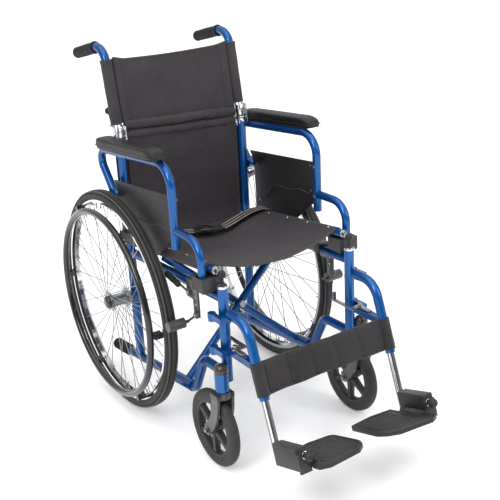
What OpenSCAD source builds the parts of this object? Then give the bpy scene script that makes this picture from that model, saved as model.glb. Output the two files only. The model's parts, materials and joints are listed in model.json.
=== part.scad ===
// Manual folding wheelchair: two side frames joined by a cross brace that folds the chair
// sideways, half-folding back, flip-back arms, swing-away footrests, casters and spoked wheels.
// Millimetres. +Z is up, -Y is the front, +X is the sitter's left. The origin is on the floor
// under the middle of the chair. Every per-side part is drawn for the left and mirrored.

/* [Rear wheel] */
// Outside radius of the rear tyre
wheel_r = 305; // [295:1:310]
// Section radius of the rear tyre
tyre_r = 17; // [15:0.5:18]
// Distance of the wheel's middle plane from the chair's middle
wheel_x = 244; // [243:1:250]
// Radius of the handrim's centre line
handrim_r = 254; // [250:1:256]
// Radius of the handrim's tube
handrim_tube_r = 9; // [8:0.5:10]
// Number of spokes in a rear wheel
spoke_count = 36; // [24:4:36]

/* [Side frame] */
// Distance of each side frame's plane from the chair's middle
frame_x = 188; // [186:1:190]
// Radius of the frame tubes
tube_r = 12; // [11:0.5:12]
// Radius of the back canes
cane_r = 12.5; // [12:0.5:12.5]
// Upward slope of the lower rail, the seat rails and the brace's pivots, in degrees
pitch = 6.3; // [5:0.1:7]
// Upward slope of the side rail, in degrees
side_rail_slope = 2.5; // [2:0.1:3]

/* [Back] */
// Backward lean of the upper canes, in degrees
back_lean = 9.7; // [8:0.1:11]
// Height where the upper back upholstery ends
back_top_z = 938; // [920:1:945]
// Downward slope of the push handles, in degrees
grip_slope = 12.5; // [10:0.5:15]

/* [Cross brace] */
// Height of the brace's middle bolt
brace_z = 303; // [300:1:306]
// Distance from the middle bolt to the lower pivots, measured up the brace
brace_h = 167; // [165:1:169]
// Radius of the brace bars
brace_r = 10.5; // [9:0.5:10.5]

/* [Armrest] */
// Distance of the armrest's plane from the chair's middle
arm_x = 214.5; // [214:0.1:215]
// Radius of the armrest tube
arm_r = 11; // [10:0.5:11]
// Length of the arm pad
pad_length = 322; // [300:1:330]

/* [Caster] */
// Radius of a caster wheel
caster_r = 100; // [95:1:100]
// Distance from the swivel axis back to the caster's axle
caster_trail = 44; // [40:1:46]

/* [Footrest] */
// Angle of the footrest tube from the vertical, in degrees
hanger_angle = 20; // [18:1:22]
// Upward tilt of the footplate towards its front, in degrees
foot_tilt = 18; // [14:1:20]
// Thickness of the footplate
footplate_t = 12; // [10:1:14]

/* [Hidden] */
SIDES = ["right", "left"];
SIDE_PARTS = [
    "side_frame", "tip_grip", "back_hinge", "upper_cane", "push_grip", "back_release_lever",
    "arm_frame", "arm_pad", "skirt_guard", "arm_socket", "arm_lock_knob",
    "tyre", "rim", "wheel_hub", "handrim",
    "caster_fork", "caster_wheel",
    "hanger", "hanger_latch", "foot_tube", "foot_block", "foot_hinge", "footplate",
    "brake_bracket", "brake_lever", "brake_shoe"
];
MIDDLE_PARTS = [
    "cross_brace_a", "cross_brace_b", "brace_bolt",
    "seat_sling", "seat_belt", "back_upper", "back_lower", "calf_strap"
];
$fn = 48;

// distance from the chair's middle back to the rear axle
axle_y = 255.3;
// running clearance of a pin in its bore
run = 0.05;
// a bend is this much thinner than its straight runs, which reach this far into it
seam = 0.03;
lap = 0.5;

// --- frame points in the side plane, [y from the rear axle, z from the floor]
cane_y = 11;
cane_top_z = 740;
joint_top_z = 774;
goose_low = [-300, 144];
goose_high = [-352, 247];
goose_r = 25;
post_y = -460;
post_z = [235, 481];
post_r = 12.6;
side_rail_z = 448;
goose_end_z = 249;

// --- cross brace: its middle bolt, and a frame whose local -Y runs along the pivots
brace_y = -218;
brace_gap = 1.5;
bar_offset = brace_r + brace_gap;
bolt_r = 5;
seat_rail_lift = 15;
seat_rail_w = brace_h + seat_rail_lift;
seat_rail_r = 11;
seat_rail_span = [-241, 170];
sleeve_span = [-48, 50];
sleeve_r = 15;

// --- back
fold_pivot = [37, 738];
lever_pivot = [45, 764];
lever_knob = [66, 806];
lever_tail = [50, 748];
handle_r = 45;
grip_r = 15;
grip_length = 124;
sleeve_gap = 1;
fabric_t = 1.5;

// --- armrest points, [y, z]
arm_pivot = [20, 598];
arm_rear = [108, 706];
arm_front = [-299, 738];
arm_leg_z = 532;
step_y = -417;
step_z = 578;
step_end_z = 486;

// --- caster
stem = [214, -474];
stem_r = 8;
housing_r = 17;
housing_z = [222, 276];
caster_w = 26;
fork_gap = 34;
fork_t = 7;

// --- footrest: the hanger's bend, and lengths measured down its sloping tube
hanger_corner = [-556, 416];
hanger_bend_r = 55;
hanger_end = 177;
foot_end = 328;
foot_top = 125;
foot_travel = 70;
foot_tube_r = 9.5;
strap_span = [90, 168];
hinge_pin = [213, -446];
hinge_pin_r = 4;
upper_lug_z = 394;
lower_lug_z = 308;
lug_t = 6;
lug_r = 10;
plate_axis_x = 168;
plate_top = 15;
plate_axis_z = plate_top - 2;
foot_knob_x = frame_x - 5.5;
knuckle_r = 7.5;
hinge_span = [-76, -40];

// --- brake
brake_pivot = [-337, 430];
shoe_pivot = [-366, 378];
shoe = [-322, 346];
shoe_r = 13;

paint = [0.03, 0.22, 0.62];
chrome = [0.78, 0.8, 0.82];
black = [0.08, 0.08, 0.09];
cloth = [0.16, 0.15, 0.16];

// ---------------------------------------------------------------- helpers
function unit(v) = v / norm(v);
function at_x(x, p) = [x, p[0], p[1]];
function turn(a, b) = acos(min(1, max(-1, a * b)));

// draws its children for one side of the chair, from the rear axle's frame
module on_side(s) translate([0, axle_y, 0]) mirror([s < 0 ? 1 : 0, 0, 0]) children();

// a round bar from a to b
module rod(a, b, r) {
    d = unit(b - a);
    n = unit(cross(d, abs(d[0]) < 0.9 ? [1, 0, 0] : [0, 1, 0]));
    m = cross(d, n);
    multmatrix([
        [n[0], m[0], d[0], a[0]], [n[1], m[1], d[1], a[1]], [n[2], m[2], d[2], a[2]], [0, 0, 0, 1]
    ])
        cylinder(r = r, h = norm(b - a));
}

// the round bend of a tube at corner c, arriving along d1 and leaving along d2
module elbow(c, d1, d2, bend, r) {
    angle = turn(d1, d2);
    n = unit(d2 - (d1 * d2) * d1);
    o = c - d1 * bend * tan(angle / 2) + n * bend;
    k = cross(-n, d1);
    multmatrix([
        [-n[0], d1[0], k[0], o[0]], [-n[1], d1[1], k[1], o[1]], [-n[2], d1[2], k[2], o[2]], [0, 0, 0, 1]
    ])
        rotate_extrude(angle = angle) translate([bend, 0]) circle(r = r - seam);
}

// a tube through the points, with one bend radius for each inner point
module bent_tube(points, bends, r) {
    last = len(points) - 1;
    dirs = [for (i = [0 : last - 1]) unit(points[i + 1] - points[i])];
    cut = [for (i = [0 : last])
        i == 0 || i == last ? 0 : bends[i - 1] * tan(turn(dirs[i - 1], dirs[i]) / 2) - lap];
    for (i = [0 : last - 1])
        rod(points[i] + dirs[i] * cut[i], points[i + 1] - dirs[i] * cut[i + 1], r);
    for (i = [1 : last - 1])
        elbow(points[i], dirs[i - 1], dirs[i], bends[i - 1], r);
}

// a disc or drum along X, from x0 to x1, centred at p = [y, z]
module drum(p, x0, x1, r) translate([x0, p[0], p[1]]) rotate([0, 90, 0]) cylinder(r = r, h = x1 - x0);

// children in a frame at p = [y, z] in the side plane, leaned back by angle
module leaned(p, angle) translate([frame_x, p[0], p[1]]) rotate([-angle, 0, 0]) children();

// children in the brace's frame: X across, local -Y along the pivots, Z up the brace
module brace_frame() translate([0, brace_y, brace_z]) rotate([-pitch, 0, 0]) children();

// a point of the brace's frame, as a point of the axle's frame
function from_brace(x, u, w) = [
    x, brace_y + u * cos(pitch) + w * sin(pitch), brace_z - u * sin(pitch) + w * cos(pitch)
];

// ---------------------------------------------------------------- side frame
module lower_rail_tube(r) {
    rod(from_brace(frame_x, -60, -brace_h), from_brace(frame_x, 380, -brace_h), r);
}

module side_rail_tube(r) {
    drop = (cane_y - post_y) * tan(side_rail_slope);
    rod([frame_x, post_y, side_rail_z], [frame_x, cane_y, side_rail_z - drop], r);
}

module hinge_lug(z) {
    translate([hinge_pin[0], hinge_pin[1], z]) cylinder(r = lug_r - 1, h = lug_t);
    translate([frame_x, hinge_pin[1] - 7, z]) cube([hinge_pin[0] - frame_x, 14, lug_t]);
    translate([hinge_pin[0], hinge_pin[1], z]) cylinder(r = hinge_pin_r, h = lug_t + 15);
}

module side_frame() color(paint) {
    rail_end = from_brace(frame_x, 392, -brace_h);
    difference() {
        union() {
            // lower rail and gooseneck
            bent_tube([
                rail_end, at_x(frame_x, goose_low), at_x(frame_x, goose_high),
                [frame_x, post_y, goose_end_z]
            ], [goose_r, goose_r], tube_r);
            side_rail_tube(tube_r);
            // front post, back cane and axle tube
            rod([frame_x, post_y, post_z[0]], [frame_x, post_y, post_z[1]], post_r);
            rod([frame_x, cane_y, 108], [frame_x, cane_y, cane_top_z], cane_r);
            drum([0, wheel_r], frame_x - 16, frame_x + 16, 15);
            // caster housing, with two welds to the post
            translate([stem[0], stem[1], housing_z[0]])
                cylinder(r = housing_r, h = housing_z[1] - housing_z[0]);
            for (z = [238, 262])
                rod([frame_x, post_y, z], [stem[0], stem[1], z], 8);
            hinge_lug(upper_lug_z);
            hinge_lug(lower_lug_z);
        }
        // swivel bore, axle bore, open lower end of the post, knob bore
        translate([stem[0], stem[1], housing_z[0] - 1])
            cylinder(r = stem_r + run, h = 46);
        translate([frame_x, post_y, post_z[0] - 1]) cylinder(r = 10.5, h = 41);
        translate([frame_x, post_y, post_z[1] - 30]) cylinder(r = 3.5 + run, h = 31);
    }
    // axle, fixed in the frame, and the armrest's pivot pin
    drum([0, wheel_r], frame_x + 15, wheel_x + 32, 6.3);
    drum(arm_pivot, frame_x, arm_x + 12, 4);
}

module tip_grip() color(black) {
    // rubber sleeve on the rear end of the lower rail
    difference() {
        rod(from_brace(frame_x, 318, -brace_h), from_brace(frame_x, 402, -brace_h), 16);
        rod(from_brace(frame_x, 310, -brace_h), from_brace(frame_x, 392.2, -brace_h), tube_r + 0.1);
    }
}

// ---------------------------------------------------------------- back
module back_hinge() color(chrome) {
    plate = 2;
    inner = cane_r + 0.4;
    head = 0.4;
    difference() {
        union() {
            for (s = [-1, 1])
                translate([frame_x + s * (inner + plate / 2) - plate / 2, -3, 722])
                    cube([plate, 50, joint_top_z - 722]);
            // bridge across the back of the cane
            translate([frame_x - inner - plate, cane_y + cane_r + 0.4, 722])
                cube([2 * (inner + plate), 2.5, 10]);
        }
        // trimmed along the leaned front edge
        leaned([-3, 722], back_lean / 2) translate([-30, -20, 0]) cube([60, 20, 80]);
    }
    drum(fold_pivot, frame_x - inner - plate - head, frame_x + inner + plate + head, 4);
    for (s = [-1, 1])
        translate([s * (inner + plate), 0, 0]) drum([cane_y, 730], frame_x - head, frame_x + head, 4);
}

function up_cane(s) = [frame_x, cane_y + 5.6 + s * sin(back_lean), cane_top_z + 3 + s * cos(back_lean)];
cane_corner = up_cane(238);
grip_dir = [0, cos(grip_slope), -sin(grip_slope)];
grip_start = cane_corner + grip_dir * 50;

module upper_cane() color(paint) {
    lug_x = 9.5;
    slot_x = 3.3;
    difference() {
        union() {
            bent_tube([up_cane(4), cane_corner, grip_start + grip_dir * (grip_length - 6)],
                [handle_r], cane_r - 1);
            // foot of the cane, and the lug that reaches the fold pivot
            rod(up_cane(0), up_cane(190), cane_r);
            translate([frame_x - lug_x, cane_y + 6, cane_top_z + 1]) cube([2 * lug_x, 36, 30]);
            drum(fold_pivot, frame_x - lug_x + 0.5, frame_x + lug_x - 0.5, 10);
        }
        drum(fold_pivot, frame_x - 20, frame_x + 20, 4 + run);
        // flat foot that stands on the lower cane, and the release lever's slot
        translate([frame_x - 20, cane_y - 30, cane_top_z - 20]) cube([40, 43, 20.3]);
        translate([frame_x - slot_x, cane_y + 27.5, cane_top_z - 12]) cube([2 * slot_x, 30, 50]);
    }
    drum(lever_pivot, frame_x - slot_x - 2, frame_x + slot_x + 2, 3);
}

module push_grip() color(black) {
    // ribbed rubber grip
    ribs = 6;
    difference() {
        union() {
            rod(grip_start, grip_start + grip_dir * grip_length, grip_r - 1.5);
            for (i = [0 : ribs - 1])
                rod(grip_start + grip_dir * (2 + i * 20), grip_start + grip_dir * (16 + i * 20), grip_r);
        }
        rod(grip_start - grip_dir, grip_start + grip_dir * (grip_length - 5.8), cane_r - 0.9);
    }
}

module back_release_lever() color(black) {
    difference() {
        union() {
            drum(lever_pivot, frame_x - 3, frame_x + 3, 6);
            rod(at_x(frame_x, lever_pivot), at_x(frame_x, lever_knob), 2.9);
            rod(at_x(frame_x, lever_pivot), at_x(frame_x, lever_tail), 2.9);
            translate(at_x(frame_x, lever_knob)) sphere(r = 9);
        }
        drum(lever_pivot, frame_x - 20, frame_x + 20, 3 + run);
    }
}

// ---------------------------------------------------------------- armrest
module arm_frame() color(paint) {
    difference() {
        union() {
            bent_tube([
                at_x(arm_x, arm_pivot), at_x(arm_x, arm_rear), at_x(arm_x, arm_front),
                [arm_x, arm_front[0], arm_leg_z]
            ], [32, 55], arm_r);
            // stepped tube that stands in the socket
            bent_tube([
                [arm_x, arm_front[0], step_z], [arm_x, step_y, step_z], [arm_x, step_y, step_end_z]
            ], [50], arm_r - 0.5);
            drum(arm_pivot, arm_x - 10, arm_x + 10, 14);
        }
        drum(arm_pivot, arm_x - 20, arm_x + 20, 4 + run);
    }
}

pad_base = 12;
pad_x = 228;
pad_w = 48;
pad_slope = 4.5;

module pad_frame() {
    translate([pad_x, -120, 724 + arm_r]) rotate([-pad_slope, 0, 0]) children();
}

module arm_pad() color(black) {
    pad_frame() {
        translate([-pad_w / 2, -pad_length / 2, 0.5]) cube([pad_w, pad_length, pad_base]);
        // crowned top, a slice of a long drum
        intersection() {
            translate([-pad_w / 2 + 2, -pad_length / 2 + 2, pad_base])
                cube([pad_w - 4, pad_length - 4, 18]);
            translate([0, 0, -28]) rotate([90, 0, 0])
                cylinder(r = 56, h = pad_length, center = true, $fn = 96);
        }
    }
}

module skirt_guard() color(black) {
    guard_t = 4;
    front = arm_front[0] + arm_r + 0.5;
    difference() {
        translate([arm_x - guard_t / 2, 0, 0]) rotate([90, 0, 90]) linear_extrude(guard_t)
            polygon([
                [front, 662], [front, 560], [-205, 498], [-10, 478], [-6, 592], [20, 630]
            ]);
        // clear of the armrest's pivot eye and rear tube
        drum(arm_pivot, arm_x - 10, arm_x + 10, 15);
        rod(at_x(arm_x, arm_pivot), at_x(arm_x, arm_rear), arm_r + 0.5);
    }
    // screws into the front leg and a strap to the rear tube
    for (z = [580, 650])
        rod([arm_x, front - 0.5, z], [arm_x, front + 14, z], 3.5);
    rod([arm_x, 0, 624], [arm_x, 24, 624], 3);
}

module arm_socket() color(black) {
    block = [[174, 230], [-442, -392], [462, 497]];
    difference() {
        translate([block[0][0], block[1][0], block[2][0]])
            cube([block[0][1] - block[0][0], block[1][1] - block[1][0], block[2][1] - block[2][0]]);
        translate([arm_x, step_y, step_end_z - 3]) cylinder(r = 14.5, h = 40);
        side_rail_tube(tube_r + 0.1);
        // saddle for the seat rail
        brace_frame() rotate([90, 0, 0]) translate([frame_x + 1, seat_rail_w, 0])
            cylinder(r = seat_rail_r + 0.5, h = 400);
    }
}

module arm_lock_knob() color(black) {
    translate([frame_x, post_y, post_z[1] - 24]) cylinder(r = 3.5, h = 45);
    translate([frame_x, post_y, post_z[1] + 27]) sphere(r = 10);
    translate([frame_x, post_y, post_z[1] + 0.5]) cylinder(r = 6, h = 6);
}

// ---------------------------------------------------------------- rear wheel
module wheel_frame() translate([wheel_x, 0, wheel_r]) rotate([0, 90, 0]) children();

rim_out = 280;
rim_in = 265;

module tyre() color(black) wheel_frame() difference() {
    rotate_extrude($fn = 96) translate([wheel_r - tyre_r, 0]) circle(r = tyre_r);
    cylinder(r = rim_out + 0.1, h = 60, center = true, $fn = 96);
}

module rim() color(chrome) wheel_frame() rotate_extrude($fn = 96)
    polygon([
        [rim_in, -6], [rim_in, 6], [rim_in + 6, 13], [rim_out, 13.5], [rim_out, -13.5], [rim_in + 6, -13]
    ]);

module wheel_hub() color(chrome) wheel_frame() {
    flange_r = 24;
    flange_z = 24;
    hub_r = 17;
    difference() {
        union() {
            cylinder(r = hub_r, h = 68, center = true);
            for (s = [-1, 1])
                translate([0, 0, s * flange_z - 1.5]) cylinder(r = flange_r, h = 3);
        }
        cylinder(r = 6.3 + run, h = 80, center = true);
    }
    // spokes lean one way on the outer flange and the other way on the inner one
    for (i = [0 : spoke_count - 1]) {
        s = i % 2 == 0 ? 1 : -1;
        a = i * 360 / spoke_count;
        from = [(flange_r - 4) * cos(a - s * 70), (flange_r - 4) * sin(a - s * 70), s * flange_z];
        to = [(rim_in - 0.2) * cos(a), (rim_in - 0.2) * sin(a), s * 3];
        rod(from, to, 1.1);
    }
}

module handrim() color(black) wheel_frame() {
    ring_z = 39.5;
    rotate_extrude($fn = 96) translate([handrim_r, ring_z]) circle(r = handrim_tube_r);
    for (a = [30 : 60 : 330])
        rotate(a) translate([handrim_r + 2, -7, 13.6]) cube([20, 14, ring_z - 17]);
}

// ---------------------------------------------------------------- caster
module caster_fork() color(black) translate([stem[0], stem[1], 0]) {
    leg_x = fork_gap / 2;
    crown_z = 203;
    leg_bend = [119, 195];
    leg_band = [104, 132];
    difference() {
        union() {
            // stem and crown
            translate([0, 0, crown_z + 2]) cylinder(r = stem_r, h = 60);
            translate([0, 0, crown_z]) cylinder(r = 19, h = 17);
            translate([-leg_x - fork_t, -15, crown_z]) cube([2 * (leg_x + fork_t), 34, 13]);
            for (s = [-1, 1])
                translate([s * (leg_x + fork_t / 2) - fork_t / 2, 0, 0]) {
                    // curved leg, a band of a large ring, and the axle eye
                    intersection() {
                        translate([0, leg_bend[0], leg_bend[1]]) rotate([0, 90, 0]) difference() {
                            cylinder(r = leg_band[1], h = fork_t, $fn = 96);
                            translate([0, 0, -1]) cylinder(r = leg_band[0], h = fork_t + 2, $fn = 96);
                        }
                        translate([-1, -30, caster_r + 1]) cube([fork_t + 2, 86, crown_z + 5 - caster_r]);
                    }
                    translate([0, caster_trail, caster_r]) rotate([0, 90, 0])
                        cylinder(r = 13, h = fork_t);
                }
        }
        // bolt hole
        translate([-60, caster_trail, caster_r]) rotate([0, 90, 0]) cylinder(r = 3, h = 120);
    }
    // axle bolt
    half = leg_x + fork_t;
    translate([0, caster_trail, caster_r]) rotate([0, 90, 0]) {
        cylinder(r = 4, h = 2 * half + 2, center = true);
        for (s = [-1, 1])
            translate([0, 0, s * (half + 2)]) cylinder(r = 7.5, h = 5, center = true, $fn = 6);
    }
}

module caster_wheel() color(black) translate([stem[0], stem[1] + caster_trail, caster_r])
    rotate([0, 90, 0]) {
        rim_r = 70;
        difference() {
            union() {
                // solid tyre on a moulded core with six spokes
                rotate_extrude($fn = 96) translate([caster_r - caster_w / 2, 0]) circle(r = caster_w / 2);
                difference() {
                    cylinder(r = caster_r - 12, h = caster_w - 4, center = true, $fn = 96);
                    cylinder(r = rim_r, h = caster_w, center = true, $fn = 96);
                }
                for (a = [0 : 60 : 300])
                    rotate(a) translate([14, -6, -5]) cube([rim_r - 12, 12, 10]);
                cylinder(r = 20, h = fork_gap - 4, center = true);
            }
            cylinder(r = 4 + run, h = fork_gap + 2, center = true);
        }
    }

// ---------------------------------------------------------------- footrest
module hanger_arm(z, h) {
    // a cranked arm from the hinge pin round the front of the post
    front_y = post_y - tube_r - 14;
    translate([hinge_pin[0], hinge_pin[1], z]) cylinder(r = lug_r, h = h);
    translate([hinge_pin[0] - 6, front_y - 6, z]) cube([12, hinge_pin[1] - front_y + 6, h]);
    translate([frame_x, front_y - 6, z]) cube([hinge_pin[0] - frame_x + 6, 12, h]);
}

module hanger() color(paint) {
    front_y = post_y - tube_r - 14;
    upper_z = upper_lug_z + lug_t + 0.5;
    lower_z = lower_lug_z + lug_t + 0.5;
    difference() {
        union() {
            bent_tube([
                [frame_x, front_y, hanger_corner[1]], at_x(frame_x, hanger_corner),
                at_x(frame_x, hanger_corner) + hanger_end * [0, -sin(hanger_angle), -cos(hanger_angle)]
            ], [hanger_bend_r], tube_r);
            hanger_arm(upper_z, 14);
            hanger_arm(lower_z, 14);
            translate([frame_x - 9, -592, lower_z]) cube([18, 592 + front_y, 16]);
        }
        translate([hinge_pin[0], hinge_pin[1], lower_z - 1])
            cylinder(r = hinge_pin_r + run, h = upper_z - lower_z + 20);
        leaned(hanger_corner, hanger_angle) translate([0, 0, -hanger_end - 1])
            cylinder(r = foot_tube_r + run, h = hanger_end - foot_top + foot_travel + 1);
        // hole for the latch's bolt
        translate([frame_x, -500, lower_z + 6]) cylinder(r = 3 + run, h = 20);
    }
}

module hanger_latch() color(chrome) {
    // plate on the lower bracket, with a thumb tab beside the post
    top = lower_lug_z + lug_t + 0.5 + 16;
    translate([frame_x, -500, top - 9]) cylinder(r = 3, h = 17);
    translate([frame_x, -500, top + 8]) cylinder(r = 6, h = 4, $fn = 6);
    translate([frame_x, -500, top + 0.5]) cylinder(r = 9, h = 4);
    translate([frame_x - 29, -509, top + 0.5]) cube([29, 18, 4]);
    translate([frame_x - 29, -509, top + 0.5]) cube([10, 90, 4]);
    translate([frame_x - 29, -429, top + 0.5]) cube([10, 4, 24]);
    translate([frame_x - 6, -540, top + 0.5]) cube([12, 40, 4]);
}

module foot_tube() color(chrome) leaned(hanger_corner, hanger_angle)
    translate([0, 0, -foot_end]) cylinder(r = foot_tube_r, h = foot_end - foot_top);

// children in the footrest's frame: its origin is the tube's lower end, -Y runs up the plate
module foot_frame() {
    end_y = hanger_corner[0] - foot_end * sin(hanger_angle);
    end_z = hanger_corner[1] - foot_end * cos(hanger_angle);
    translate([0, end_y, end_z]) rotate([-foot_tilt, 0, 0]) children();
}

module foot_block() color(black) {
    end_y = -106;
    difference() {
        foot_frame() difference() {
            translate([frame_x - 14, end_y + 6, 3]) cube([28, 94, 51]);
            // room for the plate's hinge tube
            translate([plate_axis_x, 3, plate_axis_z]) rotate([90, 0, 0]) cylinder(r = 9, h = 104);
        }
        leaned(hanger_corner, hanger_angle) translate([0, 0, -foot_end - 10])
            cylinder(r = foot_tube_r + run, h = 90);
    }
    foot_frame() {
        // end plate that carries the hinge pin, and the locking knob
        translate([plate_axis_x + 4, end_y, -3]) cube([frame_x + 10 - plate_axis_x, 6.5, 46]);
        translate([plate_axis_x, end_y + 6.5, plate_axis_z]) rotate([90, 0, 0])
            cylinder(r = 8.5, h = 6.5);
        translate([plate_axis_x, end_y + 6, plate_axis_z]) rotate([-90, 0, 0]) cylinder(r = 3, h = 86);
        translate([foot_knob_x, end_y + 1, 36]) rotate([90, 0, 0]) cylinder(r = 4, h = 9);
        translate([foot_knob_x, end_y - 15, 36]) sphere(r = 11.5);
    }
}

// one knuckle of the plate's hinge, from y0 to y1 along the plate
module knuckle(y0, y1) translate([plate_axis_x, y1, plate_axis_z]) rotate([90, 0, 0])
    cylinder(r = knuckle_r, h = y1 - y0);

module foot_hinge() color(black) foot_frame() difference() {
    knuckle(hinge_span[0], hinge_span[1]);
    translate([plate_axis_x, 10, plate_axis_z]) rotate([90, 0, 0]) cylinder(r = 3 + run, h = 110);
}

module footplate() color(black) foot_frame() {
    ends = [[-98, hinge_span[0] - 0.5], [hinge_span[1] + 0.5, -18]];
    difference() {
        union() {
            translate([0, 0, plate_top - footplate_t]) linear_extrude(footplate_t)
                polygon([
                    [158, 14], [95, 23], [34, 14], [26, 4], [23, -92], [34, -116], [60, -138],
                    [150, -150], [174, -136], [174, -108], [158, -108]
                ]);
            for (e = ends) {
                knuckle(e[0], e[1]);
                translate([156, e[0], plate_top - 11]) cube([10, e[1] - e[0], 10]);
            }
        }
        translate([plate_axis_x, 10, plate_axis_z]) rotate([90, 0, 0]) cylinder(r = 3 + run, h = 110);
    }
}

// ---------------------------------------------------------------- brake
module brake_bracket() color(black) {
    plate_x = frame_x + tube_r + 2;
    difference() {
        union() {
            translate([plate_x - 28, -352, 436]) cube([33, 30, 26]);
            translate([plate_x, -374, 372]) cube([5, 52, 80]);
        }
        side_rail_tube(tube_r + 0.1);
        translate([plate_x - 1, -350, 368]) cube([7, 30, 46]);
    }
    drum(brake_pivot, plate_x + 4, plate_x + 12, 4);
    drum(shoe_pivot, plate_x + 4, plate_x + 12, 4);
}

module brake_lever() color(black) {
    x0 = frame_x + tube_r + 7.5;
    grip_end = [brake_pivot[0] + 98, brake_pivot[1] + 18];
    grip_from = [brake_pivot[0] + 40, brake_pivot[1] + 7];
    difference() {
        union() {
            drum(brake_pivot, x0, x0 + 4, 9);
            rod(at_x(x0 + 3, brake_pivot), at_x(x0 + 3, grip_from), 2.9);
            rod(at_x(x0 + 7, grip_from), at_x(x0 + 7, grip_end), 7);
            rod(at_x(x0 + 3, grip_from), at_x(x0 + 7, grip_from), 2.9);
        }
        drum(brake_pivot, x0 - 2, x0 + 8, 4 + run);
    }
}

module brake_shoe() color(black) {
    x0 = frame_x + tube_r + 7.5;
    difference() {
        union() {
            drum(shoe_pivot, x0, x0 + 4, 9);
            rod(at_x(x0 + 3, shoe_pivot), at_x(x0 + 3, shoe), 2.9);
            drum(shoe, x0, x0 + 18, 4);
            drum(shoe, wheel_x - 23, wheel_x + 23, shoe_r);
        }
        drum(shoe_pivot, x0 - 2, x0 + 8, 4 + run);
    }
}

// ---------------------------------------------------------------- cross brace
// one brace: a sleeve on the lower rail at x = -frame_x, a bar, and a seat rail at x = frame_x
module brace(offset) brace_frame() {
    run_x = frame_x * 1.02;
    run_w = brace_h * 1.02;
    difference() {
        union() {
            rod([-frame_x, offset, -brace_h], [run_x, offset, run_w], brace_r);
            rod([-frame_x, sleeve_span[0], -brace_h], [-frame_x, sleeve_span[1], -brace_h], sleeve_r);
            rod([frame_x + 1, seat_rail_span[0], seat_rail_w], [frame_x + 1, seat_rail_span[1], seat_rail_w],
                seat_rail_r);
        }
        rod([-frame_x, sleeve_span[0] - 1, -brace_h], [-frame_x, sleeve_span[1] + 1, -brace_h], tube_r + run);
        rod([0, offset - 20, 0], [0, offset + 20, 0], bolt_r + run);
    }
}

module cross_brace_a() color(paint) translate([0, axle_y, 0]) brace(-bar_offset);

module cross_brace_b() color(paint) translate([0, axle_y, 0]) mirror([1, 0, 0]) brace(bar_offset);

module brace_bolt() color(chrome) translate([0, axle_y, 0]) brace_frame() {
    reach = bar_offset + brace_r;
    rod([0, -reach - 1, 0], [0, reach + 1, 0], bolt_r);
    rod([0, -reach - 6, 0], [0, -reach - 0.5, 0], 9);
    rod([0, reach + 0.5, 0], [0, reach + 6, 0], 9);
    rod([0, -brace_gap + 0.2, 0], [0, brace_gap - 0.2, 0], 9);
}

// ---------------------------------------------------------------- upholstery
// a sagging strip between the seat rails: a slice of a ring, t thick, from y0 to y1
module sling_strip(half, sag, lift, t, y0, y1) {
    big = (half * half + sag * sag) / (2 * sag);
    top = seat_rail_w + seat_rail_r + lift;
    intersection() {
        translate([0, y1, top - sag + big]) rotate([90, 0, 0]) difference() {
            cylinder(r = big + t, h = y1 - y0, $fn = 180);
            translate([0, 0, -1]) cylinder(r = big, h = y1 - y0 + 2, $fn = 180);
        }
        translate([-half, y0, top - sag - t - 1]) cube([2 * half, y1 - y0, sag + t + 1.5]);
    }
}

module seat_sling() color(cloth) translate([0, axle_y, 0]) brace_frame() {
    top = seat_rail_w + seat_rail_r;
    sling_strip(frame_x - 13, 38, 2, 2, seat_rail_span[0] + 22, seat_rail_span[1] + 4);
    for (s = [-1, 1])
        translate([s * (frame_x - 1) - 15, seat_rail_span[0] + 22, top + 0.3])
            cube([30, seat_rail_span[1] - seat_rail_span[0] - 18, 2]);
}

module seat_belt() color(black) translate([0, axle_y, 0]) brace_frame() {
    // webbing across the back of the seat, with its buckle
    sling_strip(frame_x - 20, 33, 3, 2, 96, 136);
    translate([-30, 88, seat_rail_w + seat_rail_r - 29]) cube([60, 52, 12]);
}

module panel_ring(a, b) {
    difference() {
        rod(a, b, cane_r + sleeve_gap + fabric_t);
        rod(a - unit(b - a), b + unit(b - a), cane_r + sleeve_gap);
    }
}

module back_upper() color(cloth) translate([0, axle_y, 0]) {
    low = up_cane((joint_top_z - cane_top_z - 3) / cos(back_lean) + 3);
    high = up_cane((back_top_z - cane_top_z - 3) / cos(back_lean) - 10);
    half = frame_x - cane_r - sleeve_gap;
    for (s = [0, 1])
        mirror([s, 0, 0]) panel_ring(low, high);
    translate([0, low[1], low[2]]) rotate([-back_lean, 0, 0])
        translate([-half, -3, 0]) cube([2 * half, 6, norm(high - low)]);
}

module back_lower() color(cloth) translate([0, axle_y, 0]) {
    half = frame_x - cane_r - 8;
    // front panel between the canes, and the flap that passes behind them
    translate([-half, cane_y - 3, 496]) cube([2 * half, 6, 272]);
    translate([-half, cane_y + 3, 500]) cube([2 * half, 12, 212]);
    translate([-frame_x - 14, cane_y + cane_r + 2, 500]) cube([2 * frame_x + 28, 2, 212]);
}

module calf_strap() color(cloth) translate([0, axle_y, 0]) {
    half = frame_x - tube_r - sleeve_gap;
    h = strap_span[1] - strap_span[0];
    for (s = [0, 1])
        mirror([s, 0, 0]) difference() {
            leaned(hanger_corner, hanger_angle) translate([0, 0, -strap_span[1]]) difference() {
                cylinder(r = tube_r + sleeve_gap + fabric_t, h = h);
                translate([0, 0, -1]) cylinder(r = tube_r + sleeve_gap, h = h + 2);
            }
            // gap for the hanger's lower bracket
            translate([frame_x - 10.5, -594, lower_lug_z + 4]) cube([21, 40, 30]);
        }
    translate([0, hanger_corner[0], hanger_corner[1]]) rotate([-hanger_angle, 0, 0])
        translate([-half, -6, -strap_span[1]]) cube([2 * half, 12, h]);
}

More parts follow.
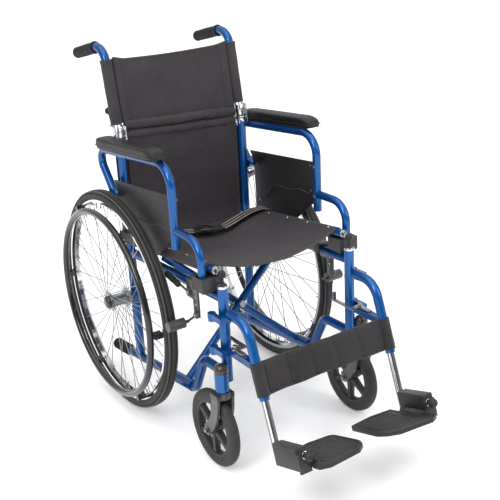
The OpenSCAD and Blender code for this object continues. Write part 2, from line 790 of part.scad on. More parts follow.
on_side(-1) side_frame();  // right_side_frame
on_side(1) side_frame();  // left_side_frame
on_side(-1) tip_grip();  // right_tip_grip
on_side(1) tip_grip();  // left_tip_grip
on_side(-1) back_hinge();  // right_back_hinge
on_side(1) back_hinge();  // left_back_hinge
on_side(-1) upper_cane();  // right_upper_cane
on_side(1) upper_cane();  // left_upper_cane
on_side(-1) push_grip();  // right_push_grip
on_side(1) push_grip();  // left_push_grip
on_side(-1) back_release_lever();  // right_back_release_lever
on_side(1) back_release_lever();  // left_back_release_lever
on_side(-1) arm_frame();  // right_arm_frame
on_side(1) arm_frame();  // left_arm_frame
on_side(-1) arm_pad();  // right_arm_pad
on_side(1) arm_pad();  // left_arm_pad
on_side(-1) skirt_guard();  // right_skirt_guard
on_side(1) skirt_guard();  // left_skirt_guard
on_side(-1) arm_socket();  // right_arm_socket
on_side(1) arm_socket();  // left_arm_socket
on_side(-1) arm_lock_knob();  // right_arm_lock_knob
on_side(1) arm_lock_knob();  // left_arm_lock_knob
on_side(-1) tyre();  // right_tyre
on_side(1) tyre();  // left_tyre
on_side(-1) rim();  // right_rim
on_side(1) rim();  // left_rim
on_side(-1) wheel_hub();  // right_wheel_hub
on_side(1) wheel_hub();  // left_wheel_hub
on_side(-1) handrim();  // right_handrim
on_side(1) handrim();  // left_handrim
on_side(-1) caster_fork();  // right_caster_fork
on_side(1) caster_fork();  // left_caster_fork
on_side(-1) caster_wheel();  // right_caster_wheel
on_side(1) caster_wheel();  // left_caster_wheel
on_side(-1) hanger();  // right_hanger
on_side(1) hanger();  // left_hanger
on_side(-1) hanger_latch();  // right_hanger_latch
on_side(1) hanger_latch();  // left_hanger_latch
on_side(-1) foot_tube();  // right_foot_tube
on_side(1) foot_tube();  // left_foot_tube
on_side(-1) foot_block();  // right_foot_block
on_side(1) foot_block();  // left_foot_block
on_side(-1) foot_hinge();  // right_foot_hinge
on_side(-1) footplate();  // right_footplate
on_side(1) foot_hinge();  // left_foot_hinge
on_side(1) footplate();  // left_footplate
on_side(-1) brake_bracket();  // right_brake_bracket
on_side(1) brake_bracket();  // left_brake_bracket
on_side(-1) brake_lever();  // right_brake_lever
on_side(1) brake_lever();  // left_brake_lever
on_side(-1) brake_shoe();  // right_brake_shoe
on_side(1) brake_shoe();  // left_brake_shoe
cross_brace_a();
cross_brace_b();
brace_bolt();
seat_sling();
seat_belt();
back_upper();
back_lower();
calf_strap();
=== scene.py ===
import json
from math import copysign, cos, exp, pi, radians, sin
import bpy
import bmesh
from mathutils import Matrix, Vector, noise


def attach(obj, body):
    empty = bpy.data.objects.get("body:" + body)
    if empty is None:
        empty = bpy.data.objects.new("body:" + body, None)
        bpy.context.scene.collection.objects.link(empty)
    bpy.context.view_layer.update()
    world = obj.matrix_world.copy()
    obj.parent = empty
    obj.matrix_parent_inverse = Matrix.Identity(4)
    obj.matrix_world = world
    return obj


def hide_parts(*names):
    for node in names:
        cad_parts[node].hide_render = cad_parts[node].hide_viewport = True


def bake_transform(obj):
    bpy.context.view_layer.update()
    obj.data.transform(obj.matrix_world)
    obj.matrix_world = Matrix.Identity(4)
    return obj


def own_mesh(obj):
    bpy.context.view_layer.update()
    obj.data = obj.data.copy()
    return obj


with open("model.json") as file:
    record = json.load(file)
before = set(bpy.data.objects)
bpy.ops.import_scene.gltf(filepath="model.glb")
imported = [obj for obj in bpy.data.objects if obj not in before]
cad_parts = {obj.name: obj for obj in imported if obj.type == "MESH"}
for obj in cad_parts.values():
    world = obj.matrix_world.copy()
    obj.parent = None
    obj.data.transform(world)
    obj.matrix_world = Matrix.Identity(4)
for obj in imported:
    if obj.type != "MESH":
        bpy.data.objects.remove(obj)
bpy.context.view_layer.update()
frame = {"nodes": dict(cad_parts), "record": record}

SIDES = {"right": -1, "left": 1}
TAU = 2 * pi

# Places and angles repeated from part.scad, in millimetres, with y measured from the rear axle.
AY = 255.3  # the rear axle lies this far behind the middle of the chair
POST_Y = -460  # the front posts
FX = 188.0  # each side frame's plane, at this x on its side
HUB = (244, 0, 305)  # middle of a rear wheel
CASTER = (214, -430, 100)  # middle of a caster wheel
SWIVEL_Y = -474  # the caster's swivel axis
CANE_Y = 11  # the lower back cane's axis
JOINT_Y, JOINT_Z = 16.6, 743  # where the upper cane starts
LEAN = radians(9.7)  # the upper cane leans back
BRACE_Y, BRACE_Z = -218, 303  # the cross brace's bolt
PITCH = radians(6.3)  # the brace bars slope down to the rear
RAIL_X, TOP, RAIL_R = 189, 182.0, 12.6  # the seat rails in the brace's frame, and the cloth round them
HANGER_Y, HANGER_Z = -556, 416  # where a hanger turns down
HANG = radians(20)  # the hangers reach forwards
REACH = 328  # from there down to the foot block
FOOT_Y, FOOT_Z = HANGER_Y - REACH * sin(HANG), HANGER_Z - REACH * cos(HANG)
FOOT = radians(18)  # the footplates' tilt
GUARD_X, ARM_Y = 214.5, -299  # the skirt guard's plane and the armrest's front post


def placed(name, data):
    """A new object in the scene."""
    o = bpy.data.objects.new(name, data)
    bpy.context.scene.collection.objects.link(o)
    return o


# ---------------- materials


class Nodes:
    """The node tree of a new material, or of a world, with short calls to add and join its nodes."""

    def __init__(self, name, world=None):
        self.mat = world or bpy.data.materials.new(name)
        self.mat.use_nodes = True
        self.t = self.mat.node_tree
        self.bsdf = self.t.nodes.get("Principled BSDF")
        self.co = self.t.nodes.new("ShaderNodeTexCoord").outputs["Generated" if world else "Object"]

    def add(self, kind, **values):
        n = self.t.nodes.new("ShaderNode" + kind)
        for k, v in values.items():
            if k in n.inputs:
                self.put(v, n.inputs[k])
            elif k.replace("_", " ") in n.inputs:
                self.put(v, n.inputs[k.replace("_", " ")])
            else:
                setattr(n, k, v)
        return n

    def put(self, v, socket):
        if isinstance(v, bpy.types.NodeSocket):
            self.t.links.new(v, socket)
        else:
            socket.default_value = v

    def set(self, **values):
        for k, v in values.items():
            self.put(v, self.bsdf.inputs[k.replace("_", " ")])

    def noise(self, scale, detail=3.0, stretch=(1, 1, 1), rough=0.55):
        m = self.add("Mapping", Vector=self.co, Scale=stretch)
        n = self.add("TexNoise", Vector=m.outputs[0], Scale=scale, Detail=detail, Roughness=rough)
        return n.outputs["Fac"]

    def wave(self, scale, axis, distort=0.0):
        return self.add("TexWave", Vector=self.co, Scale=scale, bands_direction=axis, Distortion=distort,
                        Detail=1.0, Detail_Scale=2.0).outputs["Fac"]

    def ramp(self, fac, a, b, lo=0.3, hi=0.7):
        r = self.add("ValToRGB", Fac=fac)
        e = r.color_ramp.elements
        e[0].position, e[1].position = lo, hi
        e[0].color, e[1].color = (*a, 1), (*b, 1)
        return r.outputs["Color"]

    def painted_view_shade(self, stops):
        """A colour ramp over the angle between the surface and the view, from facing (0) to edge-on (1):
        painted light and shade.
        """
        r = self.add("ValToRGB", Fac=self.add("LayerWeight", Blend=0.5).outputs["Facing"])
        e = r.color_ramp.elements
        while len(e) < len(stops):
            e.new(0.5)
        for k, (place, colour) in zip(e, stops):
            k.position, k.color = place, (*colour, 1)
        return r.outputs["Color"]

    def span(self, fac, lo, hi):
        return self.add("MapRange", Value=fac, To_Min=lo, To_Max=hi).outputs["Result"]

    def mix(self, fac, a, b, blend="MIX"):
        n = self.add("Mix", data_type="RGBA", blend_type=blend)
        self.put(fac, n.inputs[0])
        self.put(a, n.inputs[6])
        self.put(b, n.inputs[7])
        return n.outputs[2]

    def math(self, op, *values):
        n = self.add("Math", operation=op)
        for v, socket in zip(values, n.inputs):
            self.put(v, socket)
        return n.outputs[0]

    def bump(self, height, strength, distance, normal=None):
        n = self.add("Bump", Height=height, Strength=strength, Distance=distance)
        if normal is not None:
            self.put(normal, n.inputs["Normal"])
        return n.outputs[0]

    def edge(self, radius=0.0006):
        """Softly rounded edges, as a normal."""
        return self.add("Bevel", Radius=radius, samples=4).outputs[0]

    def worn(self, colour, bright, amount=0.5):
        """The colour, paler along sharp edges where it is handled."""
        point = self.add("NewGeometry").outputs["Pointiness"]
        fac = self.add("MapRange", Value=point, From_Min=0.53, From_Max=0.62, To_Min=0.0, To_Max=amount)
        speck = self.math("MULTIPLY", fac.outputs["Result"], self.noise(300, 2))
        return self.mix(speck, colour, bright)


def paint_blue():
    m = Nodes("paint_blue")
    # painted shade and highlight: the blue is brighter where a tube faces the view and darker towards its
    # edges
    body = m.painted_view_shade([(0.0, (0.0005, 0.092, 0.335)), (0.3, (0.0005, 0.066, 0.26)),
                    (0.75, (0.0005, 0.02, 0.095))])
    deep = m.mix(m.span(m.noise(2.5), 0.0, 0.25), body, (0.001, 0.04, 0.17, 1))
    colour = m.mix(m.span(m.noise(2600, 1), 0.0, 0.10), deep, (0.02, 0.25, 0.75, 1))
    m.set(Base_Color=m.worn(colour, (0.03, 0.22, 0.65, 1), 0.3), Metallic=0.5,
          Roughness=m.span(m.noise(60), 0.24, 0.34), Coat_Weight=0.42, Coat_Roughness=0.03,
          Specular_IOR_Level=0.3,
          Normal=m.bump(m.noise(140, 2), 0.03, 0.0003, m.edge()))
    return m.mat


def chromed(name="bright_chrome", tone=0.78, rough=(0.07, 0.14), reflection_dip=0.16):
    """Plated steel: the studio's dark horizon is painted into the colour as a dark reflection band down each
    side.
    """
    m = Nodes(name)
    light, painted_dark_reflection = (tone, tone * 1.01, tone * 1.03), (reflection_dip, reflection_dip, reflection_dip * 1.05)
    # painted reflection: the colour darkens in a band between facing and edge-on
    colour = m.painted_view_shade([(0.0, light), (0.18, light), (0.27, painted_dark_reflection), (0.46, painted_dark_reflection), (0.56, light),
                      (1.0, light)])
    cloudy = m.mix(m.span(m.noise(18), 0.0, 0.2), colour, (tone * 0.7, tone * 0.7, tone * 0.72, 1))
    m.set(Base_Color=cloudy, Metallic=1.0, Roughness=m.span(m.noise(70, 5), *rough),
          Normal=m.bump(m.noise(420, 2), 0.03, 0.0003, m.edge(0.0005)))
    return m.mat


def steel():
    m = Nodes("spoke_steel")
    brushed = m.noise(90, 4, stretch=(1, 1, 14))
    m.set(Base_Color=m.ramp(m.noise(25), (0.26, 0.27, 0.28), (0.40, 0.41, 0.43)), Metallic=1.0,
          Roughness=m.span(brushed, 0.18, 0.38), Normal=m.bump(brushed, 0.06, 0.0003, m.edge(0.0004)))
    return m.mat


def dark(name, low, high, rough, grain, bump=0.12, coat=0.0, dust=0.03, edge=0.0008):
    """Moulded plastic, rubber or dark paint: mottled tone, fine grain and a trace of pale dust."""
    m = Nodes(name)
    base = m.ramp(m.noise(9, 4), low, high)
    dusty = m.mix(m.span(m.noise(45, 5), 0.0, dust), base, (0.22, 0.21, 0.20, 1))
    m.set(Base_Color=m.worn(dusty, (0.16, 0.16, 0.16, 1), 0.6), Roughness=m.span(m.noise(40, 4), *rough),
          Coat_Weight=coat, Coat_Roughness=0.12, Specular_IOR_Level=0.3,
          Normal=m.bump(m.noise(grain, 2), bump, 0.0005, m.edge(edge)))
    return m.mat


def woven(name, low, high, thread=0.0011, sheen=0.12, rough=0.62):
    """Coated nylon: a plain weave of warp and weft at the thread's own scale, tone that drifts, and sheen."""
    m = Nodes(name)
    k = 0.32 / thread
    warp = m.wave(k, "X", 0.4)
    weft = m.math("MAXIMUM", m.wave(k, "Y", 0.4), m.wave(k, "Z", 0.4))
    cloth = m.math("MULTIPLY", warp, weft)
    tone = m.ramp(m.noise(7, 5), low, high, 0.25, 0.75)
    fine = m.mix(m.span(cloth, 0.0, 0.35), tone, tuple(min(1, 2.4 * c) for c in high) + (1,))
    slub = m.mix(m.span(m.noise(60, 3, (1, 12, 12)), 0.0, 0.25), fine, tuple(0.5 * c for c in low) + (1,))
    crease = m.bump(m.noise(26, 5, (1.0, 0.5, 1.6)), 0.3, 0.004, m.edge(0.0004))
    m.set(Base_Color=slub, Roughness=m.span(m.noise(30), rough, rough + 0.2), Sheen_Weight=sheen,
          Sheen_Roughness=0.4, Sheen_Tint=(0.8, 0.74, 0.74, 1), Specular_IOR_Level=0.25,
          Normal=m.bump(cloth, 0.5, 0.0004, crease))
    return m.mat


def vinyl():
    m = Nodes("arm_vinyl")
    cell = m.add("TexVoronoi", Vector=m.co, Scale=620.0, feature="DISTANCE_TO_EDGE").outputs["Distance"]
    tone = m.ramp(m.noise(14, 4), (0.005, 0.005, 0.006), (0.012, 0.012, 0.0145))
    m.set(Base_Color=m.worn(tone, (0.12, 0.12, 0.12, 1)), Roughness=m.span(m.noise(35), 0.38, 0.5),
          Specular_IOR_Level=0.35, Normal=m.bump(cell, 0.35, 0.0006, m.bump(m.noise(40), 0.08, 0.002)))
    return m.mat


M = {
    "frame_paint": paint_blue(),
    "bright_chrome": chromed(),
    "spoke_steel": steel(),
    "latch_steel": chromed("latch_steel", 0.42, (0.25, 0.42), 0.3),
    "satin_chrome": chromed("satin_chrome", 0.86, (0.2, 0.3), 0.5),
    "arm_vinyl": vinyl(),
}
for name, *look in (       # darkest and palest tone, roughness, grain, bump, coat, dust
    ("black_plastic", (0.012, 0.012, 0.013), (0.028, 0.028, 0.03), (0.38, 0.52), 900),
    ("black_rubber", (0.004, 0.004, 0.0045), (0.012, 0.012, 0.0125), (0.5, 0.66), 500, 0.2),
    # the tyre's rubber in two more tones: a darker one as painted shade in the tread's channels, a paler one
    # as painted highlight on its blocks
    ("tread_gap", (0.002, 0.002, 0.002), (0.006, 0.006, 0.006), (0.6, 0.8), 350, 0.2),
    ("tread_block", (0.028, 0.028, 0.029), (0.055, 0.055, 0.057), (0.45, 0.6), 350, 0.2),
    ("tyre_rubber", (0.012, 0.012, 0.012), (0.032, 0.031, 0.03), (0.5, 0.7), 350, 0.25, 0, 0.12),
    ("handrim_coat", (0.006, 0.006, 0.007), (0.014, 0.014, 0.015), (0.16, 0.28), 250, 0.05, 0.7),
    ("fork_paint", (0.018, 0.018, 0.02), (0.04, 0.04, 0.045), (0.3, 0.42), 600, 0.1, 0.4),
    ("guard_plastic", (0.012, 0.011, 0.012), (0.026, 0.024, 0.026), (0.4, 0.55), 1100, 0.25),
    ("cap_brown", (0.03, 0.018, 0.014), (0.055, 0.034, 0.028), (0.2, 0.32), 300, 0.05, 0.6),
):
    M[name] = dark(name, *look)
for name, *look in (       # darkest and palest tone, thread, sheen, roughness
    ("nylon", (0.027, 0.024, 0.027), (0.052, 0.046, 0.052)),
    ("strap_cloth", (0.013, 0.012, 0.013), (0.032, 0.029, 0.032), 0.0009, 0.15, 0.34),
    # the binding is paler than the nylon, a painted highlight along the bound edges and piping
    ("binding", (0.032, 0.029, 0.030), (0.066, 0.060, 0.062), 0.0014, 0.15),
    ("webbing", (0.008, 0.008, 0.008), (0.018, 0.017, 0.017), 0.0016, 0.1),
    ("webbing_stripe", (0.24, 0.21, 0.185), (0.36, 0.32, 0.29), 0.0016, 0.1),
):
    M[name] = woven(name, *look)

# ---------------- mesh building


def metres(v, side=1):
    """A point in metres in the shared frame, from millimetres with y from the rear axle."""
    return Vector((side * v[0] / 1000, (v[1] + AY) / 1000, v[2] / 1000))


def at(origin, axis, up=(0, 0, 1)):
    """A matrix whose Z runs along axis, from origin."""
    z = Vector(axis).normalized()
    x = Vector(up).cross(z)
    if x.length < 1e-4:
        x = Vector((1, 0, 0)).cross(z)
    x.normalize()
    y = z.cross(x)
    m = Matrix((x, y, z)).transposed().to_4x4()
    m.translation = Vector(origin)
    return m


def shift(x, y, z):
    return Matrix.Translation((x, y, z))


def circle(n, phase=0.0):
    """The cosine and sine of n even angles."""
    return [(cos(TAU * (i + phase) / n), sin(TAU * (i + phase) / n)) for i in range(n)]


def steps(a, b, n):
    """n + 1 even steps from a to b."""
    return [a + (b - a) * i / n for i in range(n + 1)]


def rounded(x, power):
    """x raised to a power, with its sign kept: it squares off a circle's sine or cosine."""
    return copysign(abs(x) ** power, x)


class Build:
    """Collects mesh parts in millimetres and turns them into one piece."""

    def __init__(self, matrix=Matrix.Identity(4)):
        self.v, self.f, self.m, self.matrix, self.slot = [], [], [], matrix, 0

    def add(self, verts, faces):
        """Points in the current frame, with faces in the current material slot."""
        n = len(self.v)
        self.v += [self.matrix @ Vector(p) for p in verts]
        self.f += [[n + i for i in f] for f in faces]
        self.m += [self.slot] * len(faces)

    def grid(self, rows, close_u=False, close_v=False, caps=False):
        """A surface through rows of points; close_v closes each row, close_u joins the last to the first."""
        nu, nv = len(rows), len(rows[0])
        verts = [p for r in rows for p in r]
        faces = []
        for i in range(nu if close_u else nu - 1):
            for j in range(nv if close_v else nv - 1):
                a, b = i, (i + 1) % nu
                c, d = j, (j + 1) % nv
                faces.append([a * nv + c, a * nv + d, b * nv + d, b * nv + c])
        if caps:
            faces.append(list(range(nv))[::-1])
            faces.append([(nu - 1) * nv + j for j in range(nv)])
        self.add(verts, faces)

    def lathe(self, profile, seg=32, closed=False):
        """A profile of (radius, height) turned round Z."""
        rows = [[(r * c, r * s, h) for r, h in profile] for c, s in circle(seg)]
        self.grid(rows, close_u=True, close_v=closed)

    def pipe(self, points, r, seg=12, closed=False, flat=1.0):
        """A tube along points; flat below 1 makes it oval."""
        pts = [Vector(p) for p in points]
        n = len(pts)
        rows, up = [], None
        for i, p in enumerate(pts):
            a = pts[i - 1] if closed or i else pts[i]
            b = pts[(i + 1) % n] if closed or i < n - 1 else pts[i]
            t = (b - a).normalized()
            if up is None:
                up = t.orthogonal().normalized()
            up = (up - t * up.dot(t)).normalized()
            side = t.cross(up)
            rows.append([p + r * (c * up + flat * s * side) for c, s in circle(seg)])
        self.grid(rows, close_u=closed, close_v=True, caps=not closed)

    def block(self, size, centre=(0, 0, 0), bevel=1.0, seg=2, taper=1.0):
        """A box with rounded edges; taper scales its top."""
        bm = bmesh.new()
        bmesh.ops.create_cube(bm, size=1.0)
        for v in bm.verts:
            k = taper if v.co.z > 0 else 1.0
            v.co = Vector((v.co.x * size[0] * k, v.co.y * size[1] * k, v.co.z * size[2]))
        if bevel:
            bmesh.ops.bevel(bm, geom=list(bm.edges), offset=bevel, segments=seg, profile=0.5, affect="EDGES")
        self.take(bm, centre)

    def slab(self, outline, z0, z1, bevel=1.0, seg=2, corner=0.0):
        """A flat shape with rounded corners and edges, between z0 and z1."""
        bm = bmesh.new()
        verts = [bm.verts.new((x, y, z0)) for x, y in outline]
        face = bm.faces.new(verts)
        if corner:
            bmesh.ops.bevel(bm, geom=list(bm.verts), offset=corner, segments=4, profile=0.5,
                            affect="VERTICES")
            face = next(iter(bm.faces))
        up = bmesh.ops.extrude_face_region(bm, geom=[face])
        raised = [g for g in up["geom"] if isinstance(g, bmesh.types.BMVert)]
        bmesh.ops.translate(bm, verts=raised, vec=(0, 0, z1 - z0))
        bmesh.ops.recalc_face_normals(bm, faces=list(bm.faces))
        if bevel:
            rim = [e for e in bm.edges if abs(e.verts[0].co.z - e.verts[1].co.z) < 1e-4]
            bmesh.ops.bevel(bm, geom=rim, offset=bevel, segments=seg, profile=0.5, affect="EDGES")
        self.take(bm)

    def take(self, bm, centre=(0, 0, 0)):
        """Adds a bmesh and frees it."""
        bm.verts.index_update()
        c = Vector(centre)
        self.add([v.co + c for v in bm.verts], [[v.index for v in f.verts] for f in bm.faces])
        bm.free()

    def stitches(self, points, length=3.4, gap=2.2, r=0.55):
        """A row of short thread stitches along a path."""
        pts = [Vector(p) for p in points]
        along = 0.0
        total = sum((b - a).length for a, b in zip(pts, pts[1:]))

        def spot(d):
            for a, b in zip(pts, pts[1:]):
                n = (b - a).length
                if d <= n:
                    return a.lerp(b, d / n), (b - a) / n
                d -= n
            return pts[-1], (pts[-1] - pts[-2]).normalized()

        while along + length < total:
            p, t = spot(along + length / 2)
            u = t.orthogonal().normalized()
            w = t.cross(u)
            ends = [p - t * length / 2, p + t * length / 2]
            ring = [p + r * u, p + r * w, p - r * u, p - r * w]
            self.add(ends + ring, [(0, 2, 3), (0, 3, 4), (0, 4, 5), (0, 5, 2),
                                   (1, 3, 2), (1, 4, 3), (1, 5, 4), (1, 2, 5)])
            along += length + gap

    def piece(self, name, mats, body, nodes=(), side=1, sharp=38, solid=0.0, subdivide=0):
        """The collected mesh as a Blender object that rides on a body and replaces CAD nodes.

        side -1 mirrors it to the right; solid is a sheet's thickness; sharp is the angle of a hard edge.
        """
        mesh = bpy.data.meshes.new(name)
        faces = [f[::-1] for f in self.f] if side < 0 else self.f
        mesh.from_pydata([metres(v, side) for v in self.v], [], faces)
        for m in mats:
            mesh.materials.append(M[m])
        mesh.polygons.foreach_set("material_index", self.m)
        mesh.update()
        bm = bmesh.new()
        bm.from_mesh(mesh)
        bmesh.ops.remove_doubles(bm, verts=list(bm.verts), dist=1e-6)
        if not solid:
            bmesh.ops.recalc_face_normals(bm, faces=list(bm.faces))
        bm.to_mesh(mesh)
        bm.free()
        o = placed(name, mesh)
        if solid:
            k = o.modifiers.new("thick", "SOLIDIFY")
            k.thickness, k.offset, k.use_rim = solid / 1000, 0.0, True
        if subdivide:
            k = o.modifiers.new("smooth", "SUBSURF")
            k.levels = k.render_levels = subdivide
        if solid or subdivide:
            graph = bpy.context.evaluated_depsgraph_get()
            done = bpy.data.meshes.new_from_object(o.evaluated_get(graph))
            o.modifiers.clear()
            o.data = done
        return declared(o, sharp, nodes, body)


def declared(o, sharp, nodes, body):
    """Shades a piece, hides the CAD nodes it replaces, and puts it on its body."""
    o.data.shade_smooth()
    o.data.set_sharp_from_angle(angle=radians(sharp))
    if nodes:
        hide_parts(*nodes)
    if body:
        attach(o, body)
    return o


def softened(node, material, body, width):
    """A copy of a hard CAD node with its edges rounded."""
    bm = bmesh.new()
    bm.from_mesh(frame["nodes"][node].data)
    bmesh.ops.remove_doubles(bm, verts=list(bm.verts), dist=2e-6)
    bmesh.ops.dissolve_limit(bm, angle_limit=radians(0.6), verts=list(bm.verts), edges=list(bm.edges))
    sharp = [e for e in bm.edges if len(e.link_faces) == 2 and e.calc_face_angle(0) > radians(40)]
    bmesh.ops.bevel(bm, geom=sharp, offset=width / 1000, segments=2, profile=0.6, affect="EDGES",
                    clamp_overlap=True)
    mesh = bpy.data.meshes.new(node + "_soft")
    bm.to_mesh(mesh)
    bm.free()
    mesh.materials.append(M[material])
    o = placed(node + "_soft", mesh)
    declared(o, 40, [node], body)


def brace(x, u, w):
    """A point in the brace's frame: u runs back along its pitch, w up from its bolt."""
    return Vector((x, BRACE_Y + u * cos(PITCH) + w * sin(PITCH),
                   BRACE_Z - u * sin(PITCH) + w * cos(PITCH)))


def leaning(x, y, z, angle):
    """A frame at a point, leaned back by angle about X."""
    return shift(x, y, z) @ Matrix.Rotation(-angle, 4, "X")


def cane(s, x=FX):
    """A point s along the upper cane."""
    return Vector((x, JOINT_Y + s * sin(LEAN), JOINT_Z + s * cos(LEAN)))


def around(d, r, c, q):
    """A point on the ring of radius r round the upper cane, d along it, at an angle's cosine and sine."""
    return cane(d) + Vector((r * c, r * q * cos(LEAN), -r * q * sin(LEAN)))


BODY = {n: b for b, ns in frame["record"]["behaviour"]["bodies"].items() for n in ns}

# ---------------- carried CAD nodes
SLOT = {s["node"]: s["material_slot"] for s in frame["record"]["subparts"]}
for name, o in frame["nodes"].items():
    o.data.materials.clear()
    o.data.materials.append(M[SLOT[name]])

# ---------------- rear wheels
TYRE_R = 288  # to the middle of the tyre's section
BLOCKS = 196  # tread blocks in each row
for s, k in SIDES.items():
    hub = at(HUB, (1, 0, 0))
    b = Build(hub)
    # tyre: a round crown with two fine grooves, and a bead that meets the rim
    prof = []
    for deg in range(-150, 151, 6):
        t = radians(deg)
        groove = 0.9 if abs(deg) in (12, 66) else 0.0
        r = TYRE_R + (16.6 - groove) * cos(t)
        prof.append((max(r, 280.2), (16.9 - groove) * sin(t)))
    b.lathe(prof, 160, closed=True)
    # two rows of shoulder blocks, each over a channel darkened with painted shade; the blocks are paler with
    # a painted highlight
    for row in (-1, 1):
        b.matrix, b.slot = hub, 1
        channel = [radians(q) for q in range(19, 62, 6)]
        b.lathe([(TYRE_R + 16.9 * cos(t), row * 17.2 * sin(t)) for t in channel], 160)
        b.slot, t = 2, radians(row * 40)
        for i in range(BLOCKS):
            a = TAU * (i + 0.25 * row) / BLOCKS
            radial = Vector((cos(a), sin(a), 0))
            out = radial * cos(t) + Vector((0, 0, sin(t)))
            centre = radial * (TYRE_R + 17.0 * cos(t)) + Vector((0, 0, 17.3 * sin(t)))
            b.matrix = hub @ at(centre, out, up=radial.cross(Vector((0, 0, 1))))
            b.block((5.2, 11, 3.2), bevel=0.6, seg=1, taper=0.85)
    b.piece(f"{s}_tyre_tread", ["tyre_rubber", "tread_gap", "tread_block"], f"{s}_wheel", [f"{s}_tyre"],
            side=k)
    # black hub cap outside, spoke nipples at the rim
    b = Build(hub)
    b.lathe([(0, 40.2), (7, 40), (12, 38.9), (15.6, 37), (17.4, 34.6), (17.9, 32), (17.9, 29), (16.8, 28.4)],
            40)
    b.piece(f"{s}_hub_cap", ["handrim_coat"], f"{s}_wheel", side=k)
    b = Build()
    for i, (c, q) in enumerate(circle(36)):
        sg = 1 if i % 2 == 0 else -1
        b.matrix = hub @ at((264.6 * c, 264.6 * q, sg * 3), (-c, -q, sg * 0.08))
        b.lathe([(0.0, 11), (1.5, 11), (1.9, 8), (1.9, 1.5), (2.8, 0.2), (0, 0)], 10)
    b.piece(f"{s}_nipples", ["spoke_steel"], f"{s}_wheel", side=k, sharp=50)

# ---------------- casters
# a caster spoke's section: a box with its corners cut off
SPOKE = ((-1, -0.55), (-0.72, -1), (0.72, -1), (1, -0.55), (1, 0.55), (0.72, 1), (-0.72, 1), (-1, 0.55))
for s, k in SIDES.items():
    axle = at(CASTER, (1, 0, 0))
    b = Build(axle)
    prof = [(72, -10.5), (74, -12.2), (86, -12.8), (93, -11.8), (97.5, -8.8), (99.6, -4.2), (100, 0)]
    prof = prof + [(r, -h) for r, h in prof[-2::-1]] + [(71, 0)]
    b.lathe(prof, 96, closed=True)
    b.piece(f"{s}_caster_tyre", ["tyre_rubber"], f"{s}_caster", [f"{s}_caster_wheel"], side=k)
    b = Build(axle)
    b.lathe([(66, -9), (68, -11), (72, -11), (72.4, -6), (72.4, 6), (72, 11), (68, 11), (66, 9), (64.5, 0)],
            72, closed=True)
    for c, q in circle(6, 0.5):
        d, n = Vector((c, q, 0)), Vector((-q, c, 0))
        rows = []
        for j in range(9):
            t = j / 8
            r = 11 + 56 * t
            flare = 0.4 * (2 * t - 1) ** 2
            hw, hh = 9.0 - 4.2 * t + 6 * flare * (t > 0.5), 9.5 - 2.0 * t
            rows.append([d * r + n * x * hw + Vector((0, 0, z * hh)) for x, z in SPOKE])
        b.grid(rows, close_v=True, caps=True)
    b.lathe([(4.2, -15), (12, -15), (14.5, -14), (17, -11), (17.5, 0), (17, 11), (14.5, 14), (12, 15),
             (4.2, 15)], 40)
    b.piece(f"{s}_caster_core", ["black_plastic"], f"{s}_caster", side=k)
    # dome cap and lower nut of the swivel housing, axle bolt heads
    b = Build(shift(CASTER[0], SWIVEL_Y, 276))
    b.lathe([(17.4, -7), (17.6, 0), (17, 5), (15, 10), (11, 13.6), (6, 15.4), (0, 16)], 36)
    b.piece(f"{s}_swivel_cap", ["cap_brown"], f"{s}_frame", side=k)
    b = Build()
    for e in (-1, 1):
        b.matrix = at((CASTER[0] + e * 28.9, *CASTER[1:]), (e, 0, 0))
        b.lathe([(0, 3.6), (2.5, 3.4), (4.3, 2.6), (4.6, 0)], 20)
        b.lathe([(8.6, -4.7), (9.2, -4.2), (9.2, -3.4), (4, -3.2)], 24)
    b.matrix = shift(CASTER[0], SWIVEL_Y, 220.4)
    b.lathe([(9, 0), (15, 0), (15.4, 0.5), (15, 1.2), (9, 1.2)], 28, closed=True)
    b.piece(f"{s}_caster_bolts", ["spoke_steel"], f"{s}_fork", side=k)

# ---------------- frame fittings


def collar(b, stations):
    """A thin sleeve round the cane, flat where it runs between the joint's side plates."""
    rows = []
    for i, (c, lean) in enumerate(stations):
        r = 12.9 if i in (0, len(stations) - 1) else 13.5
        ring = []
        for x, y in circle(48):
            x, y = max(-12.25, min(12.25, r * x)), min(12.3, r * y)  # cut flat at the plates and the bracket
            ring.append(c + Vector((x, y * cos(lean), -y * sin(lean))))
        rows.append(ring)
    b.grid(rows, close_v=True, caps=True)


